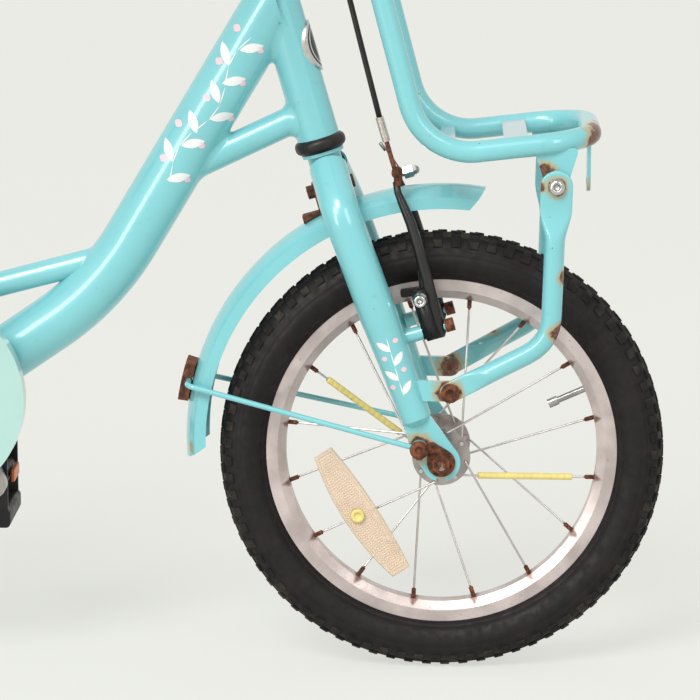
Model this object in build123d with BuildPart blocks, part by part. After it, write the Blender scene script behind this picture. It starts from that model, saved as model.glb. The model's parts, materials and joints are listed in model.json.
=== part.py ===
from build123d import *
from math import acos, asin, atan2, cos, degrees, pi, radians, sin, sqrt, tan
import os

# Child's bicycle with a front carrier and a rear stand.
# Millimetres, X forward, Y to the rider's left, Z up, ground at Z = 0.

# Fits
RUN_FIT = 0.05
SLIP = 0.1
CLEAR = 0.3

# Wheels
TYRE_RADIUS = 200.0
TYRE_HALF_WIDTH = 23.5
TYRE_WALL = 3.5
BEAD_DEPTH = 1.0
TYRE_WIDEST_DROP = 3.0
TYRE_SHOULDER = 6.5
TYRE_TREAD_SHARE = 0.75
RIM_OUTER = 158.5
RIM_DEPTH = 18.5
RIM_HALF_WIDTH = 12.0
RIM_WALL = 2.5
RIM_SHOULDER_SHARE = 0.4
RIM_BED_SHARE = 0.6
SPOKE_COUNT = 16
SPOKE_RADIUS = 1.0
SPOKE_PHASE = 12.5
SPOKE_BEND = 2.0
SPOKE_HEAD = 1.8
SPOKE_OFF_FLANGE = 1.9
NIPPLE_RADIUS = 2.0
NIPPLE_LENGTH = 11.0
FLANGE_THICK = 3.0
STRAW_RADIUS = 3.0
STRAW_START = 0.16
STRAW_SHARE = 0.66
STRAW_SPOKES = (6, 15)
LENS_TURN = 217.0
LENS_PLACE = 88.7
LENS_TILT = -57.2
LENS_Y = 21.0
LENS_THICK = 5.0
LENS_LENGTH = 130.0
LENS_END = 18.0
LENS_BULGE_OUT = 17.5
LENS_BULGE_IN = 13.0
LENS_BOSS = 6.2
LENS_BOSS_RISE = 2.8
LENS_BOSS_OUT = 4.6
VALVE_RADIUS = 3.0
VALVE_LENGTH = 32.0
VALVE_BASE = 4.8
VALVE_CAP = 4.2
VALVE_ANGLE = SPOKE_PHASE + 180.0 / SPOKE_COUNT
FRONT_FLANGE_RADIUS = 26.0
FRONT_FLANGE_Y = 30.0
FRONT_SHELL_RADIUS = 12.0
FRONT_AXLE_RADIUS = 4.0
FRONT_DROPOUT_GAP = 50.0
REAR_FLANGE_RADIUS = 31.0
REAR_FLANGE_Y = 25.0
REAR_SHELL_RADIUS = 20.0
REAR_AXLE_RADIUS = 4.75
REAR_DROPOUT_GAP = 55.0
DROPOUT_THICK = 5.0
HUB_END_DROP = 2.0
SPOKE_HOLE_INSET = 4.0

# Layout, measured from the front axle
STEER_LEAN = 16.3
FORK_OFFSET = 26.6
CRANK_BACK = 452.0
CRANK_UP = 44.0
REAR_LIFT = 15.0

# Drive
CHAIN_PITCH = 12.7
CHAIN_LINKS = 72
RING_TEETH = 32
COG_TEETH = 16
ROLLER_RADIUS = 3.9
CHAIN_Y = -44.0
TOOTH_THICK = 3.0
PLATE_THICK = 1.2
PLATE_HALF_HEIGHT = 4.2
CRANK_LENGTH = 102.0
CRANK_ANGLE = 111.4
SPINDLE_RADIUS = 8.0
BRAKE_PLATE = 3.0
CHAIN_ROOM = 0.9
TOOTH_TIP = 1.8
RING_WINDOWS = 5
RING_WINDOW = 11.0
RING_WINDOW_PLACE = 38.0
GUARD_RADIUS = 95.0
GUARD_BACK = 13.0
GUARD_UP = 10.0
GUARD_TAIL = 62.0
GUARD_TAIL_RADIUS = 53.0
GUARD_SHEET = 1.8
GUARD_INNER_Y = 38.0
GUARD_Y = 55.0
GUARD_HOLE = 22.0
GUARD_POST = 150.0
GUARD_POST_RADIUS = 4.0
CRANK_Y = 58.0
CRANK_THICK = 12.0
CRANK_BOSS = 15.0
CRANK_END = 12.0
PEDAL_PIN = 5.0
PEDAL_OUT = 150.0
PEDAL_GAP = 2.0
PEDAL_CAP = 4.0
PEDAL_BARREL = 10.0
PEDAL_HALF = 44.0
PEDAL_THICK = 27.0
PEDAL_TREAD = 18.0
PEDAL_PLATE = 4.0
REAR_AXLE_END = 90.0
REAR_NUT = 9.0
BRAKE_EYE = 12.0
BRAKE_TOE = 6.0
BRAKE_ELBOW = 30.0
BRAKE_ELBOW_DROP = 20.0
BRAKE_CLIP = 120.0

# Frame tubes
TUBE_WALL = 2.0
HEAD_RADIUS = 19.0
HEAD_BORE = 14.5
HEAD_LOW = 303.0
HEAD_LENGTH = 175.0
CUP_RADIUS = 23.0
CUP_HEIGHT = 12.5
TOP_CUP_RADIUS = 20.5
TOP_CUP_HEIGHT = 8.0
MAIN_RADIUS = 25.4
MAIN_BEND = 250.0
MAIN_CORNER_BACK = 305.7
MAIN_CORNER_UP = 143.8
MAIN_RISE = 58.9
GUSSET_RADIUS = 12.7
GUSSET_BACK = 193.5
GUSSET_UP = 270.0
GUSSET_RISE = 25.3
CROSS_RADIUS = 11.1
CROSS_BACK = 396.5
CROSS_UP = 149.0
CROSS_RISE = 14.8
SEAT_TUBE_RADIUS = 15.9
SEAT_TUBE_LENGTH = 268.0
SEAT_LEAN = 20.0
SHELL_RADIUS = 21.0
SHELL_HALF = 34.0
CHAIN_STAY_RADIUS = 7.0
SEAT_STAY_RADIUS = 6.5
SHELL_WALL = 3.5
CHAIN_STAY_Y = 29.0
CHAIN_STAY_KINK = 85.0
CHAIN_STAY_KINK_Y = 40.0
CHAIN_STAY_BEND = 90.0
SEAT_STAY_ALONG = 245.0
SEAT_STAY_KINK = 34.0
SEAT_STAY_KINK_Y = 37.0
SEAT_STAY_BEND = 40.0
BRIDGE_RADIUS = 6.0
DROPOUT_RADIUS = 16.0
DROPOUT_REACH = 26.0
DROPOUT_EYE_BACK = 10.0
DROPOUT_EYE_UP = 21.0
DROPOUT_EYE_RADIUS = 7.0
CUP_EDGE = 5.5
TOP_CUP_EDGE = 3.0
BB_CUP_LIP = 3.0
BB_CUP_DEPTH = 12.0
CLAMP_HEIGHT = 16.0
CLAMP_WALL = 2.5
CLAMP_BOLT_RADIUS = 3.0
CLAMP_BOLT_LENGTH = 14.0
BADGE_UP = 79.0
BADGE_HEIGHT = 46.0
BADGE_WIDTH = 33.0
BADGE_THICK = 2.0

# Fork and headset
STEERER_RADIUS = 12.7
STEERER_BORE = 11.1
COLLAR_RADIUS = 15.0
COLLAR_LOW = 250.0
BLADE_RADIUS = 16.8
BLADE_END_RADIUS = 13.5
BLADE_WALL = 1.8
BLADE_Y = 50.0
BLADE_RAKE = 3.7
BLADE_FOOT_AHEAD = 19.2
BLADE_TAPER = 140.0
BLADE_END = 44.0
BLADE_TIP = 5.0
CROWN_TOP = 275.0
CROWN_TOP_Y = 12.0
CROWN_LOW = 239.0
CROWN_BEND = 28.0
CROWN_BOLT = 3.0
RACE_HEIGHT = 3.0
FRONT_DROPOUT_RADIUS = 17.0
FRONT_AXLE_END = 70.0
FRONT_NUT = 8.5
WASHER = 2.0
WASHER_RADIUS = 12.5
HOOK_BACK = 8.0
HOOK_UP = 15.0
HOOK_RADIUS = 4.0
LEG_TAB_ALONG = 72.0
CROWN_BOLT_RISE = 20.8
NUT_RADIUS = 16.5
LOW_NUT_HEIGHT = 8.0
TOP_NUT_HEIGHT = 7.0
STRAP_THICK = 2.5

# Fenders
FENDER_RADIUS = 231.0
FENDER_HALF_WIDTH = 27.0
FENDER_SKIRT = 19.0
FENDER_SHEET = 1.0
FRONT_FENDER_START = 80.6
FRONT_FENDER_END = 184.5
FENDER_SLANT = 3.4
REAR_FENDER_START = 22.0
REAR_FENDER_END = 198.0
STAY_WIRE_RADIUS = 2.5
FENDER_CROWN = 9.0
FRONT_FENDER_AHEAD = 1.0
FRONT_FENDER_UP = 11.0
FRONT_STAY_ANGLE = 167.0
REAR_STAY_ANGLE = 186.0
STAY_EYE = 7.5
STAY_LIFT = 1.8
STAY_EYE_THICK = 2 * STAY_WIRE_RADIUS + STAY_LIFT
STAY_BOLT = 3.0
STAY_BOLT_BACK = 19.6
STAY_BOLT_UP = 13.2
BRACKET_HALF = 8.0
BRACKET_DROP = 34.0
BRACKET_LIP = 18.0
BRACKET_TOE = 16.0
FENDER_CLIP_ARC = 9.0
FENDER_CLIP_HALF = 11.0
FENDER_CLIP_DEPTH = 9.5
REFLECTOR_RADIUS = 24.0
REFLECTOR_DEPTH = 12.0
REFLECTOR_UP = 38.0

# Front carrier
RACK_RADIUS = 9.5
RACK_WALL = 1.5
RACK_Y = 77.0
RACK_CORNER_AHEAD = -16.6
RACK_CORNER_UP = 275.8
RACK_FRONT_AHEAD = 129.0
RACK_RISE = 6.4
RACK_TOP_AHEAD = 94.0
RACK_TOP_BEND = 45.0
RACK_LOW_BEND = 55.0
RACK_FRONT_BEND = 45.0
LEG_RADIUS = 9.0
LEG_AHEAD = 95.0
LEG_CORNER_UP = 112.0
LEG_BEND = 40.0
LEG_TOP_AHEAD = 98.5
LEG_TOP_UP = 251.7
LEG_FLAT = 5.0
LEG_FLAT_RADIUS = 14.0
LEG_BOLT_AHEAD = 7.5
LEG_BOLT_UP = 65.0
LEG_BOLT = 3.0
LEG_EYE = 9.0
LEG_HEAD = 8.0
LEG_TOP_HEAD = 7.0
LEG_NUT = 6.0
LEG_END_Y = 58.0
TAB_THICK = 4.0
LEG_FLAT_LENGTH = 30.0
LEG_FLAT_ROOT = 7.5
LEG_ROUND_SHARE = 0.72
SLAT_BACK = 5.0
SLAT_BACK_WIDTH = 13.0
SLAT_FRONT = 64.0
SLAT_FRONT_WIDTH = 21.0
SLAT_THICK = 2.5
LAMP_THICK = 3.4
LAMP_WIDTH = 18.0
LAMP_DROP = 38.0
LAMP_HOLE = 3.1

# Front brake, along and ahead of the steering axis
BRAKE_ALONG = 115.0
BRAKE_Y = 40.0
BRAKE_ARM_FACE = 63.0
BRAKE_ARM_DEPTH = 10.0
BRAKE_BODY_DEPTH = 20.0
BOSS_END = 42.7
BOSS_RADIUS = 6.5
BRAKE_PIN = 4.0
BRAKE_HUB = 8.0
BRAKE_KNEE = 205.0
BRAKE_KNEE_Y = 42.0
BRAKE_ARM_RADIUS = 5.0
STIRRUP_RISE = 11.0
STIRRUP_NECK = 4.0
PIVOT_HEAD = 6.0
ANCHOR = 5.0
PAD_HOLE_AHEAD = 49.0
PAD_HOLE_ALONG = 146.0
PAD_HOLE_Y = 43.0
PAD_POST = 3.0
PAD_NUT = 4.5
PAD_LENGTH = 28.0
PAD_HEIGHT = 6.4
PAD_THICK = 10.0
NOODLE_BACK = 3.0
NOODLE_RISE = 54.0
NOODLE_BEND = 14.0
NOODLE_END_Y = 12.0
FERRULE = 22.0
FERRULE_RADIUS = 3.5
WIRE_RADIUS = 0.8
BRAKE_ARM_TOP = 246.0
BRAKE_ARM_TOP_Y = 36.0
PAD_AHEAD = 46.0
PAD_ALONG = 148.5
PAD_GAP = 2.2
HOUSING_RADIUS = 2.5
HOUSING_BEND_SHARE = 0.45
NOODLE_RADIUS = 2.1

# Handlebar, stem and seat
BAR_RADIUS = 11.1
BAR_WALL = 1.8
BAR_AHEAD = 45.0
BAR_ALONG = 572.0
BAR_BEND = 45.0
BAR_POINTS = ((0, 55, 0), (-6, 122, 74), (-34, 200, 86), (-152, 284, 78))
HOUSING_POINTS = ((12, -178, 92), (28, -128, 84), (29, -86, 50), (24, -58, 0))
HOUSING_RISE = ((3.0, 8.0, 186.0), (4.5, 3.0, 122.0), (2.0, 1.0, 60.0))
STEM_LOW = 430.0
STEM_NECK = 4.0
STEM_BEND = 22.0
STEM_RADIUS = 12.4
STEM_CLAMP_HALF = 19.0
STEM_CLAMP_WALL = 4.5
LEVER_TILT = 40.0
LEVER_MOUNT = 20.0
LEVER_WALL = 3.5
LEVER_REACH = 27.0
LEVER_EYE = 7.0
LEVER_HUB = 6.0
LEVER_WEB_IN = 4.5
LEVER_PIN = 3.0
LEVER_THICK = 9.0
LEVER_KNEE = 22.0
LEVER_KNEE_AHEAD = 12.0
LEVER_TIP = 78.0
LEVER_TIP_AHEAD = 13.0
LEVER_BLADE = 5.0
BARREL_AHEAD = 17.0
BARREL_LENGTH = 14.0
BARREL_RADIUS = 4.5
GRIP_LIP = 3.5
GRIP_RADIUS = 15.5
GRIP_LENGTH = 95.0
POST_RADIUS = 12.7
POST_TOP = 335.0
POST_INSERT = 120.0
SADDLE_LENGTH = 215.0
SADDLE_RAIL_UP = 16.0
SADDLE_RAIL_Y = 22.0
SADDLE_HUB = 10.0
RAIL_RADIUS = 3.5
RAIL_BACK = 75.0
RAIL_AHEAD = 74.0
RAIL_RISE = 14.0
RAIL_NOSE_Y = 10.0
SADDLE_OVERHANG = 28.0
SADDLE_SIDE = 0.55
SADDLE_DRAW = 0.9
SADDLE_TUCK = 0.98
SADDLE_TUCK_UP = 0.2
SADDLE_SECTIONS = (
    (0.0, 104.0, 34.0),
    (0.14, 146.0, 48.0),
    (0.34, 148.0, 52.0),
    (0.58, 92.0, 46.0),
    (0.82, 56.0, 42.0),
    (1.0, 36.0, 28.0),
)

# Stand
STAND_RADIUS = 6.0
STAND_FOOT_RADIUS = 8.5
STAND_LEG = 250.0
STAND_FOOT_Y = 92.0
STAND_PLATE = 4.0
STAND_EYE_RADIUS = 12.0
STAND_STOP_REACH = 20.0
STAND_STOP_RADIUS = 4.0
STAND_LEG_START = 20.0
STAND_BEND = 26.0
STAND_WELD = 1.0
STAND_PAD_Y = 30.0
STAND_PAD = 34.0

# Places worked out from the sizes above
RIM_BED = RIM_OUTER - RIM_DEPTH
HEAD_TOP = HEAD_LOW + HEAD_LENGTH
RING_RADIUS = CHAIN_PITCH / (2 * sin(pi / RING_TEETH))
COG_RADIUS = CHAIN_PITCH / (2 * sin(pi / COG_TEETH))
AXLE_RISE = CRANK_UP - REAR_LIFT
lean = radians(STEER_LEAN)


def chain_pitches(distance):
    """Pitches in a chain round both sprockets at this centre distance."""
    swing = asin((RING_RADIUS - COG_RADIUS) / distance)
    free = 2 * distance * cos(swing) / CHAIN_PITCH
    return free + RING_TEETH * (0.5 + swing / pi) + COG_TEETH * (0.5 - swing / pi)


def chain_centres():
    """Centre distance at which the chain has a whole number of links."""
    low = RING_RADIUS + COG_RADIUS
    high = CHAIN_LINKS * CHAIN_PITCH
    for _ in range(60):
        middle = (low + high) / 2
        if chain_pitches(middle) < CHAIN_LINKS:
            low = middle
        else:
            high = middle
    return low


CENTRES = chain_centres()
WHEELBASE = CRANK_BACK + sqrt(CENTRES**2 - AXLE_RISE**2)
REAR_REACH = FENDER_RADIUS + REFLECTOR_DEPTH
FRONT_X = (WHEELBASE + REAR_REACH - TYRE_RADIUS) / 2

FRONT_AXLE = Vector(FRONT_X, 0, TYRE_RADIUS)
REAR_AXLE = FRONT_AXLE + Vector(-WHEELBASE, 0, REAR_LIFT)
CRANK_AXLE = FRONT_AXLE + Vector(-CRANK_BACK, 0, CRANK_UP)
STEER_UP = Vector(-sin(lean), 0, cos(lean))
STEER_AHEAD = Vector(cos(lean), 0, sin(lean))
STEER_FOOT = FRONT_AXLE - STEER_AHEAD * FORK_OFFSET
SEAT_UP = Vector(-sin(radians(SEAT_LEAN)), 0, cos(radians(SEAT_LEAN)))


def front(ahead, y, up):
    """Point given from the front axle."""
    return FRONT_AXLE + Vector(ahead, y, up)


def rear(ahead, y, up):
    """Point given from the rear axle."""
    return REAR_AXLE + Vector(ahead, y, up)


def crank(ahead, y, up):
    """Point given from the bottom bracket's centre."""
    return CRANK_AXLE + Vector(ahead, y, up)


def steer(ahead, y, along):
    """Point given ahead of, beside and along the steering axis."""
    return STEER_FOOT + STEER_AHEAD * ahead + STEER_UP * along + Vector(0, y, 0)


def seat(along, ahead=0.0, y=0.0):
    """Point given along and ahead of the seat tube's axis."""
    across = Vector(cos(radians(SEAT_LEAN)), 0, sin(radians(SEAT_LEAN)))
    return CRANK_AXLE + SEAT_UP * along + across * ahead + Vector(0, y, 0)


def slope(angle):
    """Direction in the side view, in degrees up from straight ahead."""
    return Vector(cos(radians(angle)), 0, sin(radians(angle)))


def meet(point, direction, other, other_direction):
    """Where two lines in the side view cross."""
    gap = other - point
    turn = direction.X * other_direction.Z - direction.Z * other_direction.X
    along = (gap.X * other_direction.Z - gap.Z * other_direction.X) / turn
    return point + direction * along


def side_plane(y):
    """Side view plane at one Y: local x is X, local y is Z."""
    return Plane.XZ.offset(-y)


def wheel_plane(centre, angle):
    """Plane through a wheel's axle: local x points outward, local y is Y."""
    turn = radians(angle)
    return Plane(origin=centre, x_dir=(cos(turn), 0, sin(turn)), z_dir=(-sin(turn), 0, cos(turn)))


def steer_plane(along):
    """Plane square to the steering axis: local x is ahead, local y is Y."""
    return Plane(origin=steer(0, 0, along), x_dir=STEER_AHEAD, z_dir=STEER_UP)


def rod(start, end, radius, bore=0.0, mode=Mode.ADD):
    """Straight round bar or tube between two points."""
    axis = end - start
    with BuildSketch(Plane(origin=start, z_dir=axis)) as section:
        Circle(radius)
        if bore:
            Circle(bore, mode=Mode.SUBTRACT)
    extrude(section.sketch, amount=axis.length, mode=mode)


def cone(start, end, radius, end_radius, mode=Mode.ADD):
    """Tapered bar between two points."""
    axis = end - start
    with BuildSketch(Plane(origin=start, z_dir=axis)) as wide:
        Circle(radius)
    with BuildSketch(Plane(origin=end, z_dir=axis)) as narrow:
        Circle(end_radius)
    loft([wide.sketch.face(), narrow.sketch.face()], mode=mode)


def bent_tube(points, bend, radius, bore=0.0, mode=Mode.ADD):
    """Round tube along straight runs joined by tangent bends."""
    with BuildLine() as route:
        FilletPolyline(*points, radius=bend)
    path = route.wires()[0]
    with BuildSketch(Plane(origin=path @ 0, z_dir=path % 0)) as section:
        Circle(radius)
        if bore:
            Circle(bore, mode=Mode.SUBTRACT)
    sweep(section.sketch, path=path, mode=mode)
    return path.length


def plate(y, thick, discs, mode=Mode.ADD):
    """Flat plate on one side plane, the hull of round ends (X, Z, radius)."""
    with BuildSketch(side_plane(y)) as outline:
        for x, z, radius in discs:
            with Locations((x, z)):
                Circle(radius)
        make_hull()
    extrude(outline.sketch, amount=thick, mode=mode)


def cross_hole(point, y, length, radius):
    """Hole along Y that starts at one Y and runs towards the right side."""
    rod(Vector(point.X, y, point.Z), Vector(point.X, y - length, point.Z), radius, mode=Mode.SUBTRACT)


def hex_nut(start, end, radius, bore):
    """Six sided nut between two points on its axis."""
    axis = end - start
    with BuildSketch(Plane(origin=start, z_dir=axis)) as section:
        RegularPolygon(radius, 6)
        if bore:
            Circle(bore, mode=Mode.SUBTRACT)
    extrude(section.sketch, amount=axis.length)


def lateral(point, y):
    """The same side view point at another Y."""
    return Vector(point.X, y, point.Z)


def finish(piece, name):
    """Label one sub-part and write its file."""
    piece.part.label = name
    export_step(piece.part, f"parts/{name}.step")


os.makedirs("parts", exist_ok=True)


# Wheels


def spoke_ends(index, flange_y, hole_radius):
    """Hub end and rim end of one spoke, from the wheel's centre."""
    side = 1 if index % 2 == 0 else -1
    leads = ((index + 1) // 2) % 2 == 1
    rim_turn = radians(SPOKE_PHASE + index * 360 / SPOKE_COUNT)
    lacing = radians(720 / SPOKE_COUNT) * (1 if leads else -1)
    off_flange = FLANGE_THICK / 2 + SPOKE_RADIUS + SPOKE_OFF_FLANGE
    hub_y = side * (flange_y + (off_flange if leads else -off_flange))
    rim_y = side * (NIPPLE_RADIUS if leads else SPOKE_RADIUS)
    seat_radius = RIM_BED + RIM_WALL + CLEAR
    hub_turn = rim_turn + lacing
    hub = Vector(hole_radius * cos(hub_turn), hub_y, hole_radius * sin(hub_turn))
    rim = Vector(seat_radius * cos(rim_turn), rim_y, seat_radius * sin(rim_turn))
    return hub, rim, side * flange_y


def wheel_spokes(centre, flange_y, hole_radius):
    """All spokes of one wheel, each with its elbow, head and nipple."""
    with BuildPart() as spokes:
        for index in range(SPOKE_COUNT):
            hub, rim, flange = spoke_ends(index, flange_y, hole_radius)
            run = (rim - hub).normalized()
            past = 2 * flange - hub.Y
            elbow = Vector(hub.X, past, hub.Z)
            away = Vector(0, 1 if past > hub.Y else -1, 0)
            bent_tube([centre + elbow, centre + hub, centre + rim], SPOKE_BEND, SPOKE_RADIUS)
            rod(centre + elbow - away * SPOKE_RADIUS, centre + elbow, SPOKE_HEAD)
            rod(centre + rim - run * NIPPLE_LENGTH, centre + rim, NIPPLE_RADIUS)
    return spokes


def wheel_rim(centre, flange_y, hole_radius):
    """Channel rim with holes for the nipples and the valve."""
    wall = RIM_HALF_WIDTH - RIM_WALL
    bed = RIM_BED + RIM_WALL
    shoulder = RIM_BED + RIM_SHOULDER_SHARE * RIM_DEPTH
    half_bed = RIM_BED_SHARE * RIM_HALF_WIDTH
    with BuildPart() as rim:
        with BuildSketch(wheel_plane(centre, 90)):
            with BuildLine():
                Polyline(
                    (RIM_OUTER, -RIM_HALF_WIDTH),
                    (shoulder, -RIM_HALF_WIDTH),
                    (RIM_BED, -half_bed),
                    (RIM_BED, half_bed),
                    (shoulder, RIM_HALF_WIDTH),
                    (RIM_OUTER, RIM_HALF_WIDTH),
                    (RIM_OUTER, wall),
                    (shoulder + RIM_WALL / 2, wall),
                    (bed, half_bed - RIM_WALL / 2),
                    (bed, RIM_WALL / 2 - half_bed),
                    (shoulder + RIM_WALL / 2, -wall),
                    (RIM_OUTER, -wall),
                    close=True,
                )
            make_face()
        revolve(axis=Axis(centre, (0, 1, 0)))
        for index in range(SPOKE_COUNT):
            hub, end, _ = spoke_ends(index, flange_y, hole_radius)
            run = (end - hub).normalized()
            tip = centre + end + run * RIM_WALL
            rod(tip - run * NIPPLE_LENGTH, tip, NIPPLE_RADIUS + SLIP, mode=Mode.SUBTRACT)
        out = slope(VALVE_ANGLE)
        low = centre + out * (RIM_BED - RIM_WALL)
        rod(low, centre + out * (bed + RIM_WALL), VALVE_RADIUS + SLIP, mode=Mode.SUBTRACT)
    return rim


def wheel_tyre(centre):
    """Hollow tyre whose beads sit inside the rim's walls."""
    bead_y = RIM_HALF_WIDTH - RIM_WALL - SLIP
    bead = RIM_OUTER - BEAD_DEPTH
    widest = (RIM_OUTER + TYRE_RADIUS) / 2 - TYRE_WIDEST_DROP
    shoulder = TYRE_RADIUS - TYRE_SHOULDER
    shoulder_y = TYRE_TREAD_SHARE * TYRE_HALF_WIDTH
    inner_bead = bead_y - TYRE_WALL
    with BuildPart() as tyre:
        with BuildSketch(wheel_plane(centre, 90)):
            with BuildLine():
                Line((bead, bead_y), (RIM_OUTER, bead_y))
                ThreePointArc((RIM_OUTER, bead_y), (widest, TYRE_HALF_WIDTH), (shoulder, shoulder_y))
                ThreePointArc((shoulder, shoulder_y), (TYRE_RADIUS, 0), (shoulder, -shoulder_y))
                ThreePointArc((shoulder, -shoulder_y), (widest, -TYRE_HALF_WIDTH), (RIM_OUTER, -bead_y))
                Polyline(
                    (RIM_OUTER, -bead_y),
                    (bead, -bead_y),
                    (bead, -inner_bead),
                    (RIM_OUTER, -inner_bead),
                )
                ThreePointArc(
                    (RIM_OUTER, -inner_bead),
                    (widest, TYRE_WALL - TYRE_HALF_WIDTH),
                    (shoulder - TYRE_WALL, TYRE_WALL - shoulder_y),
                )
                ThreePointArc(
                    (shoulder - TYRE_WALL, TYRE_WALL - shoulder_y),
                    (TYRE_RADIUS - TYRE_WALL, 0),
                    (shoulder - TYRE_WALL, shoulder_y - TYRE_WALL),
                )
                ThreePointArc(
                    (shoulder - TYRE_WALL, shoulder_y - TYRE_WALL),
                    (widest, TYRE_HALF_WIDTH - TYRE_WALL),
                    (RIM_OUTER, inner_bead),
                )
                Polyline((RIM_OUTER, inner_bead), (bead, inner_bead), (bead, bead_y))
            make_face()
        revolve(axis=Axis(centre, (0, 1, 0)))
    return tyre


def wheel_valve(centre):
    """Valve stem through the rim's bed, with its base flange and cap."""
    out = slope(VALVE_ANGLE)
    bed = RIM_BED + RIM_WALL
    tip = RIM_BED - VALVE_LENGTH
    with BuildPart() as valve:
        rod(centre + out * tip, centre + out * (bed + CLEAR), VALVE_RADIUS)
        rod(centre + out * (bed + CLEAR), centre + out * (bed + VALVE_RADIUS), VALVE_BASE)
        rod(centre + out * (tip - VALVE_RADIUS), centre + out * (tip + 2 * VALVE_RADIUS), VALVE_CAP)
    return valve


def wheel_hub(centre, flange_radius, flange_y, shell_radius, axle_radius, half_length):
    """Hub shell with two drilled flanges and a bore that runs on the axle."""
    end_radius = shell_radius - HUB_END_DROP
    hole_radius = flange_radius - SPOKE_HOLE_INSET
    with BuildPart() as hub:
        rod(centre + Vector(0, -half_length, 0), centre + Vector(0, half_length, 0), end_radius)
        rod(centre + Vector(0, -flange_y, 0), centre + Vector(0, flange_y, 0), shell_radius)
        for flange in (-flange_y, flange_y):
            low = centre + Vector(0, flange - FLANGE_THICK / 2, 0)
            rod(low, low + Vector(0, FLANGE_THICK, 0), flange_radius)
        rod(
            centre + Vector(0, -half_length, 0),
            centre + Vector(0, half_length, 0),
            axle_radius + RUN_FIT,
            mode=Mode.SUBTRACT,
        )
        for index in range(SPOKE_COUNT):
            hole, _, flange = spoke_ends(index, flange_y, hole_radius)
            spot = centre + Vector(hole.X, flange + FLANGE_THICK, hole.Z)
            rod(spot, spot - Vector(0, 2 * FLANGE_THICK, 0), SPOKE_RADIUS + SLIP, mode=Mode.SUBTRACT)
    return hub


front_hole_radius = FRONT_FLANGE_RADIUS - SPOKE_HOLE_INSET
rear_hole_radius = REAR_FLANGE_RADIUS - SPOKE_HOLE_INSET

front_tyre = wheel_tyre(FRONT_AXLE)
finish(front_tyre, "front_tyre")
front_rim = wheel_rim(FRONT_AXLE, FRONT_FLANGE_Y, front_hole_radius)
finish(front_rim, "front_rim")
front_spokes = wheel_spokes(FRONT_AXLE, FRONT_FLANGE_Y, front_hole_radius)
finish(front_spokes, "front_spokes")
front_valve = wheel_valve(FRONT_AXLE)
finish(front_valve, "front_valve")
front_hub = wheel_hub(
    FRONT_AXLE,
    FRONT_FLANGE_RADIUS,
    FRONT_FLANGE_Y,
    FRONT_SHELL_RADIUS,
    FRONT_AXLE_RADIUS,
    FRONT_DROPOUT_GAP - CLEAR,
)
finish(front_hub, "front_hub")

rear_tyre = wheel_tyre(REAR_AXLE)
finish(rear_tyre, "rear_tyre")
rear_rim = wheel_rim(REAR_AXLE, REAR_FLANGE_Y, rear_hole_radius)
finish(rear_rim, "rear_rim")
rear_spokes = wheel_spokes(REAR_AXLE, REAR_FLANGE_Y, rear_hole_radius)
finish(rear_spokes, "rear_spokes")
rear_valve = wheel_valve(REAR_AXLE)
finish(rear_valve, "rear_valve")
rear_hub = wheel_hub(
    REAR_AXLE,
    REAR_FLANGE_RADIUS,
    REAR_FLANGE_Y,
    REAR_SHELL_RADIUS,
    REAR_AXLE_RADIUS,
    REAR_DROPOUT_GAP - BRAKE_PLATE - 2 * CLEAR,
)
finish(rear_hub, "rear_hub")

# Frame tubes

main_corner = front(-MAIN_CORNER_BACK, 0, MAIN_CORNER_UP)
main_top = meet(main_corner, slope(MAIN_RISE), STEER_FOOT, STEER_UP)
main_route = [main_top, main_corner, CRANK_AXLE]
gusset_point = front(-GUSSET_BACK, 0, GUSSET_UP)
gusset_foot = meet(gusset_point, slope(GUSSET_RISE), main_corner, slope(MAIN_RISE))
gusset_top = meet(gusset_point, slope(GUSSET_RISE), STEER_FOOT, STEER_UP)
cross_point = front(-CROSS_BACK, 0, CROSS_UP)
cross_foot = meet(cross_point, slope(CROSS_RISE), CRANK_AXLE, SEAT_UP)
cross_top = meet(cross_point, slope(CROSS_RISE), main_corner, slope(MAIN_RISE))


def cut_head():
    """Cope a tube to the outside of the head tube."""
    rod(steer(0, 0, HEAD_LOW), steer(0, 0, HEAD_TOP), HEAD_RADIUS, mode=Mode.SUBTRACT)


def cut_shell():
    """Cope a tube to the outside of the bottom bracket shell."""
    rod(crank(0, -2 * SHELL_HALF, 0), crank(0, 2 * SHELL_HALF, 0), SHELL_RADIUS, mode=Mode.SUBTRACT)


with BuildPart() as head_tube:
    rod(steer(0, 0, HEAD_LOW), steer(0, 0, HEAD_TOP), HEAD_RADIUS, HEAD_BORE)
finish(head_tube, "head_tube")

with BuildPart() as main_tube:
    bent_tube(main_route, MAIN_BEND, MAIN_RADIUS, MAIN_RADIUS - TUBE_WALL)
    cut_head()
    cut_shell()
    with BuildSketch(steer_plane(HEAD_LOW)) as ahead_of_head:
        with Locations((2 * MAIN_RADIUS, 0)):
            Rectangle(4 * MAIN_RADIUS, 4 * MAIN_RADIUS)
    extrude(ahead_of_head.sketch, amount=2 * HEAD_LENGTH, mode=Mode.SUBTRACT)
finish(main_tube, "main_tube")

with BuildPart() as frame_braces:
    rod(gusset_foot, gusset_top, GUSSET_RADIUS, GUSSET_RADIUS - TUBE_WALL)
    rod(cross_foot, cross_top, CROSS_RADIUS, CROSS_RADIUS - TUBE_WALL)
    cut_head()
    rod(seat(0), seat(SEAT_TUBE_LENGTH), SEAT_TUBE_RADIUS, mode=Mode.SUBTRACT)
    bent_tube(main_route, MAIN_BEND, MAIN_RADIUS, mode=Mode.SUBTRACT)
finish(frame_braces, "frame_braces")

with BuildPart() as seat_tube:
    rod(seat(0), seat(SEAT_TUBE_LENGTH), SEAT_TUBE_RADIUS, POST_RADIUS + RUN_FIT)
    cut_shell()
    bent_tube(main_route, MAIN_BEND, MAIN_RADIUS, mode=Mode.SUBTRACT)
finish(seat_tube, "seat_tube")

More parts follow.
